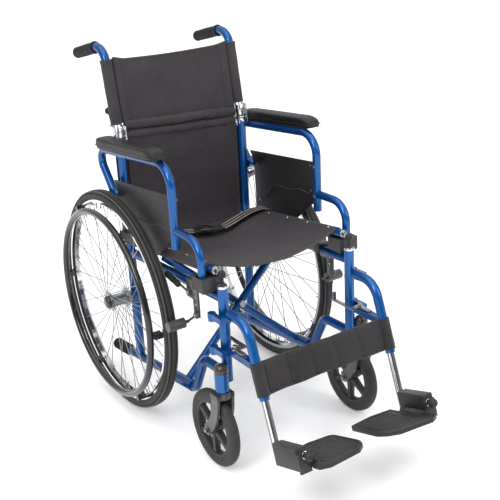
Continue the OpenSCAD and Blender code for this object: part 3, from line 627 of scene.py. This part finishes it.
for s, k in SIDES.items():
    b = Build()
    # silver cap ring on the front post, and the joint's chrome sleeves below and above its bolt
    b.matrix = shift(FX, POST_Y, 481)
    b.lathe([(6.6, -0.2), (13.1, -6), (13.3, -1), (12.6, 0.3), (6.8, 0.3), (6.6, -0.2)], 32)
    b.matrix = Matrix.Identity(4)
    collar(b, [(Vector((FX, CANE_Y, z)), 0.0) for z in (725, 726, 740.6, 741.4)])
    b.piece(f"{s}_post_ring", ["satin_chrome"], f"{s}_frame", side=k)
    b = Build()
    collar(b, [(cane(d), LEAN) for d in (-0.6, 0.4, 33, 34)])
    b.piece(f"{s}_joint_collar", ["satin_chrome"], f"{s}_upper_back", side=k)
    # push grip with finger ribs, collar and domed end
    b = Build()
    g = radians(12.5)
    axis = Vector((0, cos(g), -sin(g)))
    b.matrix = at(cane(238) + axis * 50, axis)
    prof = [(11.8, -0.6), (15.6, -0.4), (16.4, 1.2), (16.4, 4.5), (15.2, 6)]
    for i in range(81):
        h = 8 + i * 1.3
        swell = 0.9 * sin(pi * (h - 8) / 104)
        prof.append((13.9 + swell + 0.75 * cos(TAU * h / 7.8), h))
    prof += [(15, 114), (15.2, 118), (13.6, 122), (10, 124.6), (5, 125.6), (0, 126)]
    b.lathe(prof, 40)
    b.piece(f"{s}_grip_rubber", ["black_rubber"], f"{s}_upper_back", [f"{s}_push_grip"], side=k)
    # ribbed sleeve on the lower rail's end
    b = Build(at(brace(FX, 318, -167), brace(FX, 402, -167) - brace(FX, 318, -167)))
    prof = [(12.2, 0), (15.2, 0.2), (16, 1.5)]
    for i in range(60):
        h = 4 + i * 1.25
        prof.append((15.4 + (0.7 if (i // 3) % 2 else -0.2), h))
    prof += [(16, 80), (15, 83), (11, 84.4), (0, 84.6)]
    b.lathe(prof, 36)
    b.piece(f"{s}_tip_rubber", ["black_rubber"], f"{s}_frame", [f"{s}_tip_grip"], side=k)

# ---------------- armrests
SEAM = 9.5  # height of the pad's piping
for s, k in SIDES.items():
    pad = leaning(228, -120, 735.4, radians(4.5))
    rows = []
    for t in steps(-1, 1, 64):
        e = abs(t)
        hw = 23.6 * max((1 - e ** 14) ** 0.28 if e < 1 else 0.0, 0.45)
        top = 27.5 * (0.55 + 0.45 * max(0.0, 1 - e ** 16) ** 0.4)
        if t < -0.72:
            top -= 9.5 * ((-0.72 - t) / 0.28) ** 1.5
        hw *= 1.0 - 0.05 * (t < -0.8) * (-0.8 - t) / 0.2
        y = t * 160.5
        ring = []
        for c, q in circle(36):
            x = hw * rounded(c, 0.42)
            z = top * (0.5 + 0.5 * rounded(q, 0.5))
            z += 1.6 * max(0.0, q) * (1 - (x / 24) ** 2)
            if q < 0:
                z = max(z, 1.0)
            pinch = exp(-((z - SEAM) / 2.2) ** 2)
            x -= copysign(min(1.3, abs(x)), x) * pinch * (abs(c) > 0.3)
            z += 0.35 * noise.noise(Vector((x * 0.05, y * 0.03, z * 0.05)))
            ring.append((x, y, z))
        rows.append(ring)
    b = Build(pad)
    b.grid(rows, close_v=True, caps=True)
    o = b.piece(f"{s}_arm_cushion", ["arm_vinyl"], f"{s}_arm", [f"{s}_arm_pad"], side=k, sharp=60,
                subdivide=1)
    b = Build(pad)
    b.pipe([(22.7 * rounded(c, 0.16), 159.6 * rounded(q, 0.16) * 0.999, SEAM) for c, q in circle(120)],
           0.95, 8, closed=True)
    b.piece(f"{s}_arm_piping", ["black_rubber"], f"{s}_arm", side=k)
    # base board under the pad
    b = Build(pad)
    b.block((40, 300, 1.2), (0, 0, 0.4), 0.4, 1)
    b.piece(f"{s}_arm_board", ["black_plastic"], f"{s}_arm", side=k)

    # skirt guard: a thin board with a pressed rib, and its screws
    b = Build()
    front = ARM_Y + 11.5
    outline = [(front, 662), (front, 552), (-205, 486), (-10, 466), (-6, 592), (2, 622), (14, 636)]
    b.matrix = Matrix(((0, 0, 1, GUARD_X), (1, 0, 0, 0), (0, 1, 0, 0), (0, 0, 0, 1)))
    b.slab(outline, -1.7, 1.7, 0.6, 2, 6.0)
    rib = [(-262, 571), (-222, 574), (-196, 566), (-160, 562), (-110, 560), (-90, 545), (-62, 512)]
    for face in (-1, 1):
        b.pipe([(y, z, face * 1.5) for y, z in rib], 2.1, 8)
    b.piece(f"{s}_side_guard", ["guard_plastic"], f"{s}_arm", [f"{s}_skirt_guard"], side=k)
    b = Build()
    for z in (572, 652):
        b.matrix = at((GUARD_X, ARM_Y, z), (-1, 0.0, 0))
        b.lathe([(0, 13.2), (2.4, 13.0), (4.0, 12.0), (4.3, 10.4)], 20)
    for y, z in ((-272, 648), (-272, 580), (-20, 600), (-30, 500)):
        b.matrix = at((GUARD_X - 1.7, y, z), (-1, 0, 0))
        b.lathe([(0, 2.0), (2.2, 1.8), (3.6, 0.9), (4.0, -0.3)], 18)
    b.piece(f"{s}_guard_screws", ["spoke_steel"], f"{s}_arm", side=k)

# ---------------- footplates
for s, k in SIDES.items():
    plate = leaning(0, FOOT_Y, FOOT_Z, FOOT)
    outline = [(157.5, 13.5), (95, 22.5), (34, 13.5), (26.4, 3.8), (23.5, -92), (34.4, -115.6),
               (60.2, -137.5), (149.8, -149.4), (173.5, -135.8), (173.5, -108.5), (157.5, -108.5)]
    b = Build(plate)
    b.slab(outline, 3.2, 13.6, 1.5, 3, 3.0)
    # raised border
    mid = Vector((92, -62))
    edge = [mid + (Vector(q) - mid) * 0.94 for q in outline[:8]]
    edge += [Vector(q) for q in ((164, -128), (150, -104), (150, -8))]
    b.pipe([(q.x, q.y, 13.2) for q in edge], 1.9, 8, closed=True)
    # long ribs across the chair, and a ladder of small blocks between them
    for i in range(9):
        y = -132 + i * 16.5
        x0, x1 = 34 + max(0.0, -104 - y) * 0.9, 146 if y > -112 else 158
        b.block((x1 - x0 - 8, 3.2, 2.6), ((x0 + x1) / 2, y, 13.7), 0.9, 2, 0.95)
        if i < 8:
            n = int((x1 - x0 - 20) / 8.6)
            for j in range(n):
                x = x0 + 12 + (j + 0.5) * (x1 - x0 - 24) / n
                b.block((3.4, 7.6, 1.9), (x, y + 8.2, 13.6), 0.5, 1, 0.9)
    # hinge knuckles on the plate's side
    for y0, y1 in ((-98, -76.5), (-39.5, -18)):
        b.matrix = plate @ at((168, y0, 13), (0, 1, 0))
        b.lathe([(3.2, 0), (6.8, 0), (7.5, 0.8), (7.5, y1 - y0 - 0.8), (6.8, y1 - y0), (3.2, y1 - y0)], 28)
        b.matrix = plate
        b.block((11, y1 - y0, 9.5), (160.5, (y0 + y1) / 2, 9), 0.8, 2)
    b.piece(f"{s}_foot_tread", ["black_plastic"], f"{s}_plate", [f"{s}_footplate"], side=k)

# ---------------- softened hard parts
for s in SIDES:
    for node, mat, w in (("arm_socket", "black_plastic", 2.0), ("foot_block", "black_plastic", 1.6),
                         ("brake_bracket", "fork_paint", 0.8), ("hanger_latch", "latch_steel", 0.6),
                         ("back_hinge", "satin_chrome", 0.5)):
        n = f"{s}_{node}"
        softened(n, mat, BODY[n], w)

# ---------------- seat
U0, U1 = -219.0, 173.0  # the cloth's front and rear edges along the rails
INNER = 183.8  # it leaves the rails at this x
WRAP = radians(114.4)  # and at this angle on them
TUCK = radians(-28)  # it ends tucked under at this one


def ripple(x, y, amount, fx, fy, seed=0.0):
    """A soft unevenness of cloth."""
    return amount * noise.noise(Vector((x * fx + seed, y * fy, seed * 0.37)))


def seat_height(x, u):
    """The slung cloth between the rails, deeper towards the middle of its length."""
    along = (u + 24) / 195
    rear = max(0.0, min(1.0, (u + 70) / 240))
    sag = 40.0 - 3.0 * along * along * (along < 0) - 20.0 * rear * rear * (3 - 2 * rear)
    e = 1 - (x / INNER) ** 2
    return TOP + 11.6 - sag * e + e * (ripple(x, u, 2.2, 0.02, 0.009) + ripple(x, u, 0.9, 0.05, 0.03, 4))


rows = []
for u in steps(U0, U1, 60):
    row = [(RAIL_X + RAIL_R * cos(a), TOP + RAIL_R * sin(a)) for a in steps(TUCK, WRAP, 6)]
    mid = [(x, seat_height(x, u)) for x in steps(INNER, -INNER, 44)[1:-1]]
    rows.append([brace(x, u, w) for x, w in row + mid + [(-x, w) for x, w in row[::-1]]])
b = Build()
b.grid(rows)
seat = b.piece("seat_cloth", ["nylon"], None, ["seat_sling"], solid=1.8)
# bound front and rear edges, and stitching beside the rails
b = Build()
for u in (U0, U1):
    b.pipe([brace(x, u, seat_height(x, u)) for x in steps(183, -183, 60)], 2.7, 10)
bind = b.piece("seat_binding", ["binding"], None)
b = Build()
for x in (-170, -163, 163, 170):
    b.stitches([brace(x, u, seat_height(x, u) + 1.2) for u in steps(U0 + 6, U0 + 378, 31)])
for u in (U0 + 12, U0 + 18, U1 - 12):
    b.stitches([brace(x, u, seat_height(x, u) + 1.2) for x in steps(158, -158, 40)])
thread = b.piece("seat_thread", ["binding"], None)
for o in (seat, bind, thread):
    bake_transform(o)
# screws down each rail, steel plugs in the rail ends
for s, k in SIDES.items():
    body = "brace_a" if k > 0 else "brace_b"
    b = Build()
    c, q = cos(radians(62)), sin(radians(62))
    for u in (-187, -97, -7, 83, 150):
        b.matrix = at(brace(RAIL_X - 13.1 * c, u, TOP + 13.1 * q), brace(-c, 0, q) - brace(0, 0, 0))
        b.lathe([(0, 2.4), (2.4, 2.2), (4.2, 1.2), (4.8, 0.0), (6.6, -0.2), (6.6, -0.7)], 22)
    for u, d in ((-241, -1), (170, 1)):
        b.matrix = at(brace(RAIL_X, u, TOP), brace(0, d, 0) - brace(0, 0, 0))
        b.lathe([(0, 4.2), (6, 3.8), (9.5, 2.2), (11.2, 0.2), (11.3, -2)], 28)
    b.piece(f"{s}_seat_screws", ["spoke_steel"], body, side=k)

# ---------------- lap belt


def smooth_line(points, n):
    """n + 1 points on a smooth curve through the given ones."""
    pts = [Vector(q) for q in points]
    pts = [2 * pts[0] - pts[1]] + pts + [2 * pts[-1] - pts[-2]]
    out = []
    for i in range(n + 1):
        g = i / n * (len(pts) - 3)
        a = min(int(g), len(pts) - 4)
        f = g - a
        p0, p1, p2, p3 = pts[a:a + 4]
        out.append(0.5 * (2 * p1 + (p2 - p0) * f + (2 * p0 - 5 * p1 + 4 * p2 - p3) * f * f
                          + (3 * p1 - p0 - 3 * p2 + p3) * f ** 3))
    return out


def ribbon(line, section):
    """A band swept along a line: section holds (across, up) pairs."""
    rows = []
    for i, c in enumerate(line):
        d = (line[min(i + 1, len(line) - 1)] - line[max(i - 1, 0)]).normalized()
        across = Vector((d.y, -d.x, 0)).normalized()
        up = across.cross(d).normalized()
        rows.append([c + across * q + up * h for q, h in section])
    return rows


LEFT_BELT = smooth_line([(204, -82, 472), (202, -82, 482), (192, -82, 489), (174, -78, 491), (141, -74, 486),
                         (102, -82, 480), (65, -96, 477), (30, -110, 476)], 72)
RIGHT_BELT = smooth_line([(-204, -84, 472), (-202, -84, 482), (-192, -84, 489), (-174, -82, 490),
                          (-130, -74, 483), (-84, -70, 478), (-40, -84, 476)], 60)
BAND = ((-17, 0), (-17, 1.3), (-6, 1.7), (6, 1.7), (17, 1.3), (17, 0), (6, 0.2), (-6, 0.2))
b = Build()
for line in (LEFT_BELT, RIGHT_BELT):
    b.grid(ribbon(line, BAND), close_v=True, caps=True)
belt = b.piece("belt_webbing", ["webbing"], None, ["seat_belt"])
b = Build()
for off in (-12, 0, 12):
    stripe = ((off - 1.9, 1.2), (off - 1.7, 2.2), (off + 1.7, 2.2), (off + 1.9, 1.2))
    for line in (LEFT_BELT, RIGHT_BELT):
        b.grid(ribbon(line, stripe), close_v=True, caps=True)
stripes = b.piece("belt_stripes", ["webbing_stripe"], None)
# side-release buckle: a housing, and two prongs, a tongue and a bar that reach out of it
along = Vector((-0.93, 0.36, 0.0)).normalized()
across = Vector((0, 0.1, 1)).normalized().cross(along).normalized()
b = Build(Matrix((along, across, along.cross(across).normalized())).transposed().to_4x4())
b.matrix.translation = Vector((-5, -98, 478.5))
b.slab([(-6, -25), (24, -25), (30, -18), (30, 18), (24, 25), (-6, 25), (-10, 19), (-10, -19)],
       -4.5, 6.5, 2.6, 3, 3.0)
b.slab([(2, -13), (20, -15), (24, -8), (24, 8), (20, 15), (2, 13)], 5.0, 8.6, 1.4, 2, 3.0)
for sx, w in ((36, 50), (-36, 48)):
    b.block((6.5, w, 7.5), (sx, 0, 1), 2.0, 3)
for sy in (-1, 1):
    b.block((14, 6, 6.5), (31, sy * 21.5, 1), 1.8, 2)
    b.block((30, 5.5, 6.5), (-22, sy * 20.5, 1), 1.8, 2)
    b.slab([(-12, sy * 20), (-2, sy * 27.5), (10, sy * 27.5), (14, sy * 20)], -2.5, 4.5, 1.4, 2, 2.0)
b.block((26, 22, 4.5), (-22, 0, 1), 1.5, 2)
b.block((5, 40, 6), (-12, 0, 1.5), 1.5, 2)
buckle = b.piece("belt_buckle", ["handrim_coat"], None)
for o in (belt, stripes, buckle):
    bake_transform(o)

# ---------------- back: lower panel
Z0, Z1 = 446.0, 741.0  # its lower and upper edges
HALF = 172  # both panels reach this far from the middle


def gather(o, body):
    """Puts a middle panel on a body, with a mesh of its own."""
    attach(o, body)
    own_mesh(o)


def lower_y(x, z):
    """The lower panel bows back between the canes."""
    e = 1 - (x / HALF) ** 2
    pull = 7.0 + 5.0 * sin(pi * (z - 446) / 310)
    return 10.5 + pull * e + e * (ripple(x, z, 2.4, 0.010, 0.020, 2) + ripple(x, z, 1.0, 0.03, 0.05, 7))


b = Build()
b.grid([[(x, lower_y(x, z), z) for x in steps(-170, 170, 60)] for z in steps(Z0, Z1, 48)])
low = b.piece("lower_back_cloth", ["nylon"], None, ["back_lower"], solid=1.8)
gather(low, "right_frame")
b = Build()
for x in (-168, 168):
    b.pipe([(x, lower_y(x, z) - 0.8, z) for z in steps(Z0, Z1, 24)], 2.8, 10, flat=0.6)
    inside = x - copysign(6, x)
    b.stitches([(inside, lower_y(inside, z) - 1.2, z) for z in steps(Z0 + 4, Z1 - 4, 24)])
b.pipe([(x, lower_y(x, Z0), Z0) for x in steps(-168, 168, 50)], 2.4, 8)
for z in (Z0 + 12, Z0 + 18):
    b.stitches([(x, lower_y(x, z) - 1.2, z) for x in steps(-160, 160, 50)])
edge = b.piece("lower_back_binding", ["binding"], None)
gather(edge, "right_frame")
# sleeves round the canes' rear, with a bound edge
SLEEVE_Z0, SLEEVE_Z1, SLEEVE_R = 458, 712, 14.8
for s, k in SIDES.items():
    b = Build()
    rows = []
    for z in steps(SLEEVE_Z0, SLEEVE_Z1, 32):
        row = [(169.5, 12.5, z)]
        for i in range(15):
            a = radians(172 - 160 * i / 14)
            r = SLEEVE_R + ripple(i * 20, z, 0.5, 0.05, 0.04, 5)
            row.append((FX + r * cos(a), CANE_Y + r * sin(a), z))
        rows.append(row)
    b.grid(rows)
    b.piece(f"{s}_lower_sleeve", ["nylon"], f"{s}_frame", side=k, solid=1.8)
    b = Build()
    a = radians(12)
    x, y = FX + SLEEVE_R * cos(a), CANE_Y + SLEEVE_R * sin(a)
    b.pipe([(x, y, z) for z in steps(SLEEVE_Z0, SLEEVE_Z1, 24)], 1.7, 8)
    b.piece(f"{s}_lower_sleeve_edge", ["binding"], f"{s}_frame", side=k)

# ---------------- back: upper panel
S0, S1 = -1.0, 198.0  # its lower and upper edges, along the canes
SLEEVE = 36.0  # the sleeves round the canes start above the joint's chrome


def upper(x, s):
    """A point of the upper panel, s along the cane."""
    e = 1 - (x / HALF) ** 2
    rise = (s - S0) / (S1 - S0)
    top_dip = rise * (5.0 * max(0.0, (abs(x) - 138) / 32) ** 1.5 - 5.0 * e)
    p = cane(s + top_dip, x)
    back = 9.0 * e * (0.75 + 0.25 * sin(pi * rise))
    back += e * (ripple(x, s, 2.6, 0.011, 0.018, 9) + ripple(x, s, 1.0, 0.035, 0.05, 3))
    n = Vector((0, cos(LEAN), -sin(LEAN)))
    return p + n * (back - 5.0 * (abs(x) / HALF) ** 2)


b = Build()
b.grid([[upper(x, s) for x in steps(-171, 171, 60)] for s in steps(S0, S1, 36)])
up = b.piece("upper_back_cloth", ["nylon"], None, ["back_upper"], solid=2.0)
gather(up, "right_upper_back")
b = Build()
front = Vector((0, -cos(LEAN), sin(LEAN)))
b.pipe([upper(x, S1) for x in steps(-169, 169, 50)], 2.6, 8)
for d in (S1 - 11, S1 - 16):
    b.stitches([upper(x, d) + front * 1.3 for x in steps(-162, 162, 50)])
for x in (-151, 151):
    b.stitches([upper(x, d) + front * 3.4 for d in steps(30, S1 - 6, 24)])
# a folded hem beside each cane, in the panel's own cloth
b.slot = 1
for k in (-1, 1):
    b.grid([[upper(k * x, d) + front * h for d in steps(26, S1 + 3, 24)]
            for x, h in ((146, 0.4), (146.5, 2.6), (149, 3.0), (158, 3.2), (168, 2.6), (170.5, 0.4))])
edge = b.piece("upper_back_binding", ["binding", "nylon"], None)
gather(edge, "right_upper_back")
for s, k in SIDES.items():
    b = Build()
    rows = []
    for j in range(31):
        t = j / 30
        d = SLEEVE + (S1 + 2 - SLEEVE) * t
        flare = 0.8 * exp(-((1 - t) / 0.05) ** 2)
        rows.append([around(d, 14.3 + flare + ripple(i * 14, d, 0.7, 0.03, 0.05, 6), c, q)
                     for i, (c, q) in enumerate(circle(28))])
    b.grid(rows, close_v=True)
    # flap that joins the sleeve to the panel
    b.grid([[upper(171, d) for d in steps(SLEEVE, S1, 20)],
            [cane(d, 175.5) + Vector((0, 1.5, 0)) for d in steps(SLEEVE, S1, 20)]])
    b.piece(f"{s}_upper_sleeve", ["nylon"], f"{s}_upper_back", side=k, solid=1.6)
    b = Build()
    for d in (S1 + 1, SLEEVE + 1):
        b.pipe([around(d, 14.6, c, q) for c, q in circle(36)], 1.7, 8, closed=True)
    b.piece(f"{s}_upper_sleeve_edge", ["binding"], f"{s}_upper_back", side=k)


def roll(name, body, right_z, left_z, half, seed):
    """A rolled fold of the back cloth between the canes, puckered where it is gathered."""
    b = Build()
    rows = []
    for i in range(161):
        x = -169 + 336 * i / 160
        e = 1 - (x / 171) ** 2
        cy = 15 + 7 * e + ripple(x, 0, 2.0, 0.02, 1, seed)
        cz = right_z + (left_z - right_z) * (x + 169) / 336 - 2.0 * e + ripple(x, 9, 1.6, 0.018, 1, seed)
        swell = 0.985 + 0.10 * noise.noise(Vector((x * 0.03, seed, 0))) - 0.22 * (abs(x) / 171) ** 10
        row = []
        for j in range(24):
            a = TAU * j / 24
            pucker = 0.06 * sin(x * 0.7 + 3 * noise.noise(Vector((x * 0.02, sin(a) * 0.8, seed))))
            uneven = noise.noise(Vector((x * 0.05, cos(a) * 1.4 + seed, sin(a) * 1.4)))
            w = swell * (1 + pucker + 0.12 * uneven)
            row.append((x, cy + 0.92 * half * w * cos(a), cz + half * w * rounded(sin(a), 0.85)))
        rows.append(row)
    b.grid(rows, close_v=True, caps=True)
    o = b.piece(name, ["nylon"], None, sharp=60)
    gather(o, body)


roll("upper_fold_roll", "right_upper_back", 773.0, 757.0, 12.6, 1.0)
roll("lower_fold_roll", "right_frame", 747.5, 732.0, 12.2, 5.0)

# ---------------- calf strap
strap_frame = leaning(0, HANGER_Y, HANGER_Z, HANG)
seams = [-174, -105, -35, 35, 105, 174]
H0, H1 = -168.0, -90.0  # its lower and upper edges, along the hangers


def bow(x):
    """The strap sags back between the hangers."""
    return 7.0 * (1 - (x / 174) ** 2)


b = Build(strap_frame)
front_rows, back_rows = [], []
for j in range(27):
    v = j / 26
    z = H0 + (H1 - H0) * v
    edge = (1 - abs(2 * v - 1) ** 5) ** 0.5 if 0 < v < 1 else 0.0
    fr, bk = [], []
    for x in steps(-174, 174, 96):
        c = min(range(5), key=lambda q: abs(x - (seams[q] + seams[q + 1]) / 2))
        mid, half = (seams[c] + seams[c + 1]) / 2, (seams[c + 1] - seams[c]) / 2
        puff = max(0.0, 1 - abs((x - mid) / half) ** 2.6) ** 0.6
        zz = z + ripple(x, z, 1.6, 0.02, 0.01, 11) - 8.0 * (1 - puff) * (v - 0.5)
        t = 1.2 + 8.0 * edge * (0.10 + 0.90 * puff) + ripple(x, z, 1.8, 0.04, 0.05, 8) * edge
        t += 1.1 * edge * (1 - puff) * sin(z * 0.55 + 2 * noise.noise(Vector((x * 0.05, z * 0.1, 3))))
        fr.append((x, bow(x) - t, zz))
        bk.append((x, bow(x) + 0.8 * t, zz))
    front_rows.append(fr)
    back_rows.append(bk)
b.grid(front_rows)
b.grid([r[::-1] for r in back_rows])
b.grid([[f[0] for f in front_rows], [f[0] for f in back_rows]])
b.grid([[f[-1] for f in back_rows], [f[-1] for f in front_rows]])
b.grid([back_rows[0], front_rows[0]])
b.grid([front_rows[-1], back_rows[-1]])
calf = b.piece("calf_panel", ["strap_cloth"], None, ["calf_strap"], sharp=70)
gather(calf, "right_footrest")
b = Build(strap_frame)
for x in seams[1:-1]:
    b.stitches([(x, bow(x) - 2.6, z) for z in steps(H0 + 4, H1 - 4, 10)], 4.2, 2.0, 0.7)
for z, inwards in ((H0 + 1.0, 5.0), (H1 - 1.0, -5.0)):
    b.pipe([(x, bow(x) - 0.2, z + ripple(x, z, 1.6, 0.02, 0.01, 11)) for x in steps(-173, 173, 60)], 2.0, 8)
    b.stitches([(x, bow(x) - 5.6, z + inwards) for x in steps(-168, 168, 60)], 4.2, 2.4, 0.6)
edge = b.piece("calf_binding", ["binding"], None)
gather(edge, "right_footrest")
for s, k in SIDES.items():
    b = Build(leaning(FX, HANGER_Y, HANGER_Z, HANG))
    rows = []
    for z in steps(H0, H1, 16):
        row = []
        for i in range(27):
            a = radians(195 + 262 * i / 26)
            r = 14.4 + ripple(i * 20, z, 0.8, 0.05, 0.05, 13)
            row.append((r * cos(a), r * sin(a), z))
        rows.append(row)
    b.grid(rows)
    b.grid([[(x, y, z) for z in steps(H0, H1, 16)] for x, y in ((-15.5, -3.5), (-13.4, -5.4))])
    b.piece(f"{s}_calf_sleeve", ["strap_cloth"], f"{s}_footrest", side=k, solid=1.8)

# ---------------- brake grips and bolts, foot knobs' rings
for s, k in SIDES.items():
    b = Build()
    g0, g1 = Vector((214.5, -297, 437)), Vector((214.5, -239, 448))
    b.matrix = at(g0 - (g1 - g0).normalized() * 1.5, g1 - g0)
    n = (g1 - g0).length + 6
    b.lathe([(3.5, 0), (6.6, 0.3), (7.4, 2), (7.6, 10), (7.1, 20), (7.6, 32), (7.9, n - 12), (7.5, n - 5),
             (5.5, n - 1), (0, n)], 28)
    b.piece(f"{s}_brake_grip", ["black_rubber"], f"{s}_brake_handle", side=k)
    b = Build()
    for y, z in ((-337, 430), (-366, 378)):
        b.matrix = at((213.8, y, z), (1, 0, 0))
        b.lathe([(0, 3.4), (3.0, 3.0), (4.6, 2.0), (5.0, 0), (7.2, -0.1), (7.2, -0.8)], 22)
    for y, z in ((-365, 443), (-364, 424), (-363, 404)):
        for x, d in ((207, 1), (202, -1)):
            b.matrix = at((x, y, z), (d, 0, 0))
            b.lathe([(0, 2.6), (2.6, 2.4), (4.2, 1.6), (4.6, 0)], 16)
    b.piece(f"{s}_brake_bolts", ["spoke_steel"], f"{s}_frame", side=k)
    b = Build(leaning(0, FOOT_Y, FOOT_Z, FOOT) @ at((182.5, -106.3, 36), (0, -1, 0)))
    b.lathe([(4.2, 0), (9.2, 0), (9.6, 0.6), (9.2, 1.8), (6.4, 2.6), (4.2, 2.6)], 28)
    b.piece(f"{s}_knob_ring", ["bright_chrome"], f"{s}_foot_slider", side=k)

# ---------------- stage, light and camera
floor = bpy.data.meshes.new("floor")
floor.from_pydata([(-30, -30, 0), (30, -30, 0), (30, 30, 0), (-30, 30, 0)], [], [(0, 1, 2, 3)])
fo = placed("floor", floor)
fm = Nodes("studio_floor")
fm.set(Base_Color=fm.ramp(fm.noise(1.5), (0.92, 0.92, 0.92), (0.94, 0.94, 0.94)), Roughness=0.8,
       Specular_IOR_Level=0.1, Emission_Color=(1, 1, 1, 1), Emission_Strength=0.16)
floor.materials.append(fm.mat)

# a studio that is bright above and behind the chair, and dim in front of it
world = bpy.data.worlds.new("studio")
bpy.context.scene.world = world
sky = Nodes("studio", world)
glow = 0.28
for direction, gain in (((0, 0, 1), 0.90), ((0.54, 0.84, 0), 0.30)):
    dot = sky.add("VectorMath", operation="DOT_PRODUCT")
    sky.put(sky.co, dot.inputs[0])
    sky.put(direction, dot.inputs[1])
    glow = sky.math("MULTIPLY_ADD", dot.outputs["Value"], gain, glow)
# the backdrop itself reads as plain and pale from every side
seen = sky.math("MULTIPLY", sky.add("LightPath").outputs["Is Camera Ray"], 0.95)
background = sky.t.nodes["Background"]
sky.put(sky.math("MAXIMUM", sky.math("MAXIMUM", glow, 0.05), seen), background.inputs["Strength"])
sky.put((1, 1, 1, 1), background.inputs["Color"])


def lamp(name, place, aim, size, power):
    light = bpy.data.lights.new(name, "AREA")
    light.shape, light.size, light.size_y, light.energy = "RECTANGLE", size[0], size[1], power
    o = placed(name, light)
    o.location = place
    o.rotation_euler = (Vector(aim) - Vector(place)).to_track_quat("-Z", "Y").to_euler()


lamp("key", (-2.6, -1.4, 2.6), (0, 0, 0.5), (0.8, 1.6), 45)
lamp("fill", (1.6, -2.8, 2.0), (0, 0, 0.5), (0.6, 1.6), 25)
sun = bpy.data.lights.new("overhead", "SUN")
sun.energy, sun.angle = 1.1, radians(60)
so = placed("overhead", sun)
so.rotation_euler = (radians(10), radians(-12), 0)

# the camera that was fitted to matching points on the chair's two sides
cam = bpy.data.cameras.new("camera")
cam.sensor_width = 36
cam.lens = 68.34
co = placed("camera", cam)
AZ, EL, ROLL = radians(-32.71), radians(20.81), radians(-2.92)
back = Vector((sin(AZ) * cos(EL), -cos(AZ) * cos(EL), sin(EL)))
right = Vector((0, 0, 1)).cross(back).normalized()
upv = back.cross(right)
cx = right * cos(ROLL) + upv * sin(ROLL)
cy = upv * cos(ROLL) - right * sin(ROLL)
rot = Matrix((cx, cy, back)).transposed().to_4x4()
rot.translation = Vector((-1.22106, -2.19473 + AY / 1000, 1.33146))
co.matrix_world = rot
bpy.context.scene.camera = co
bpy.context.scene.view_settings.view_transform = "Standard"
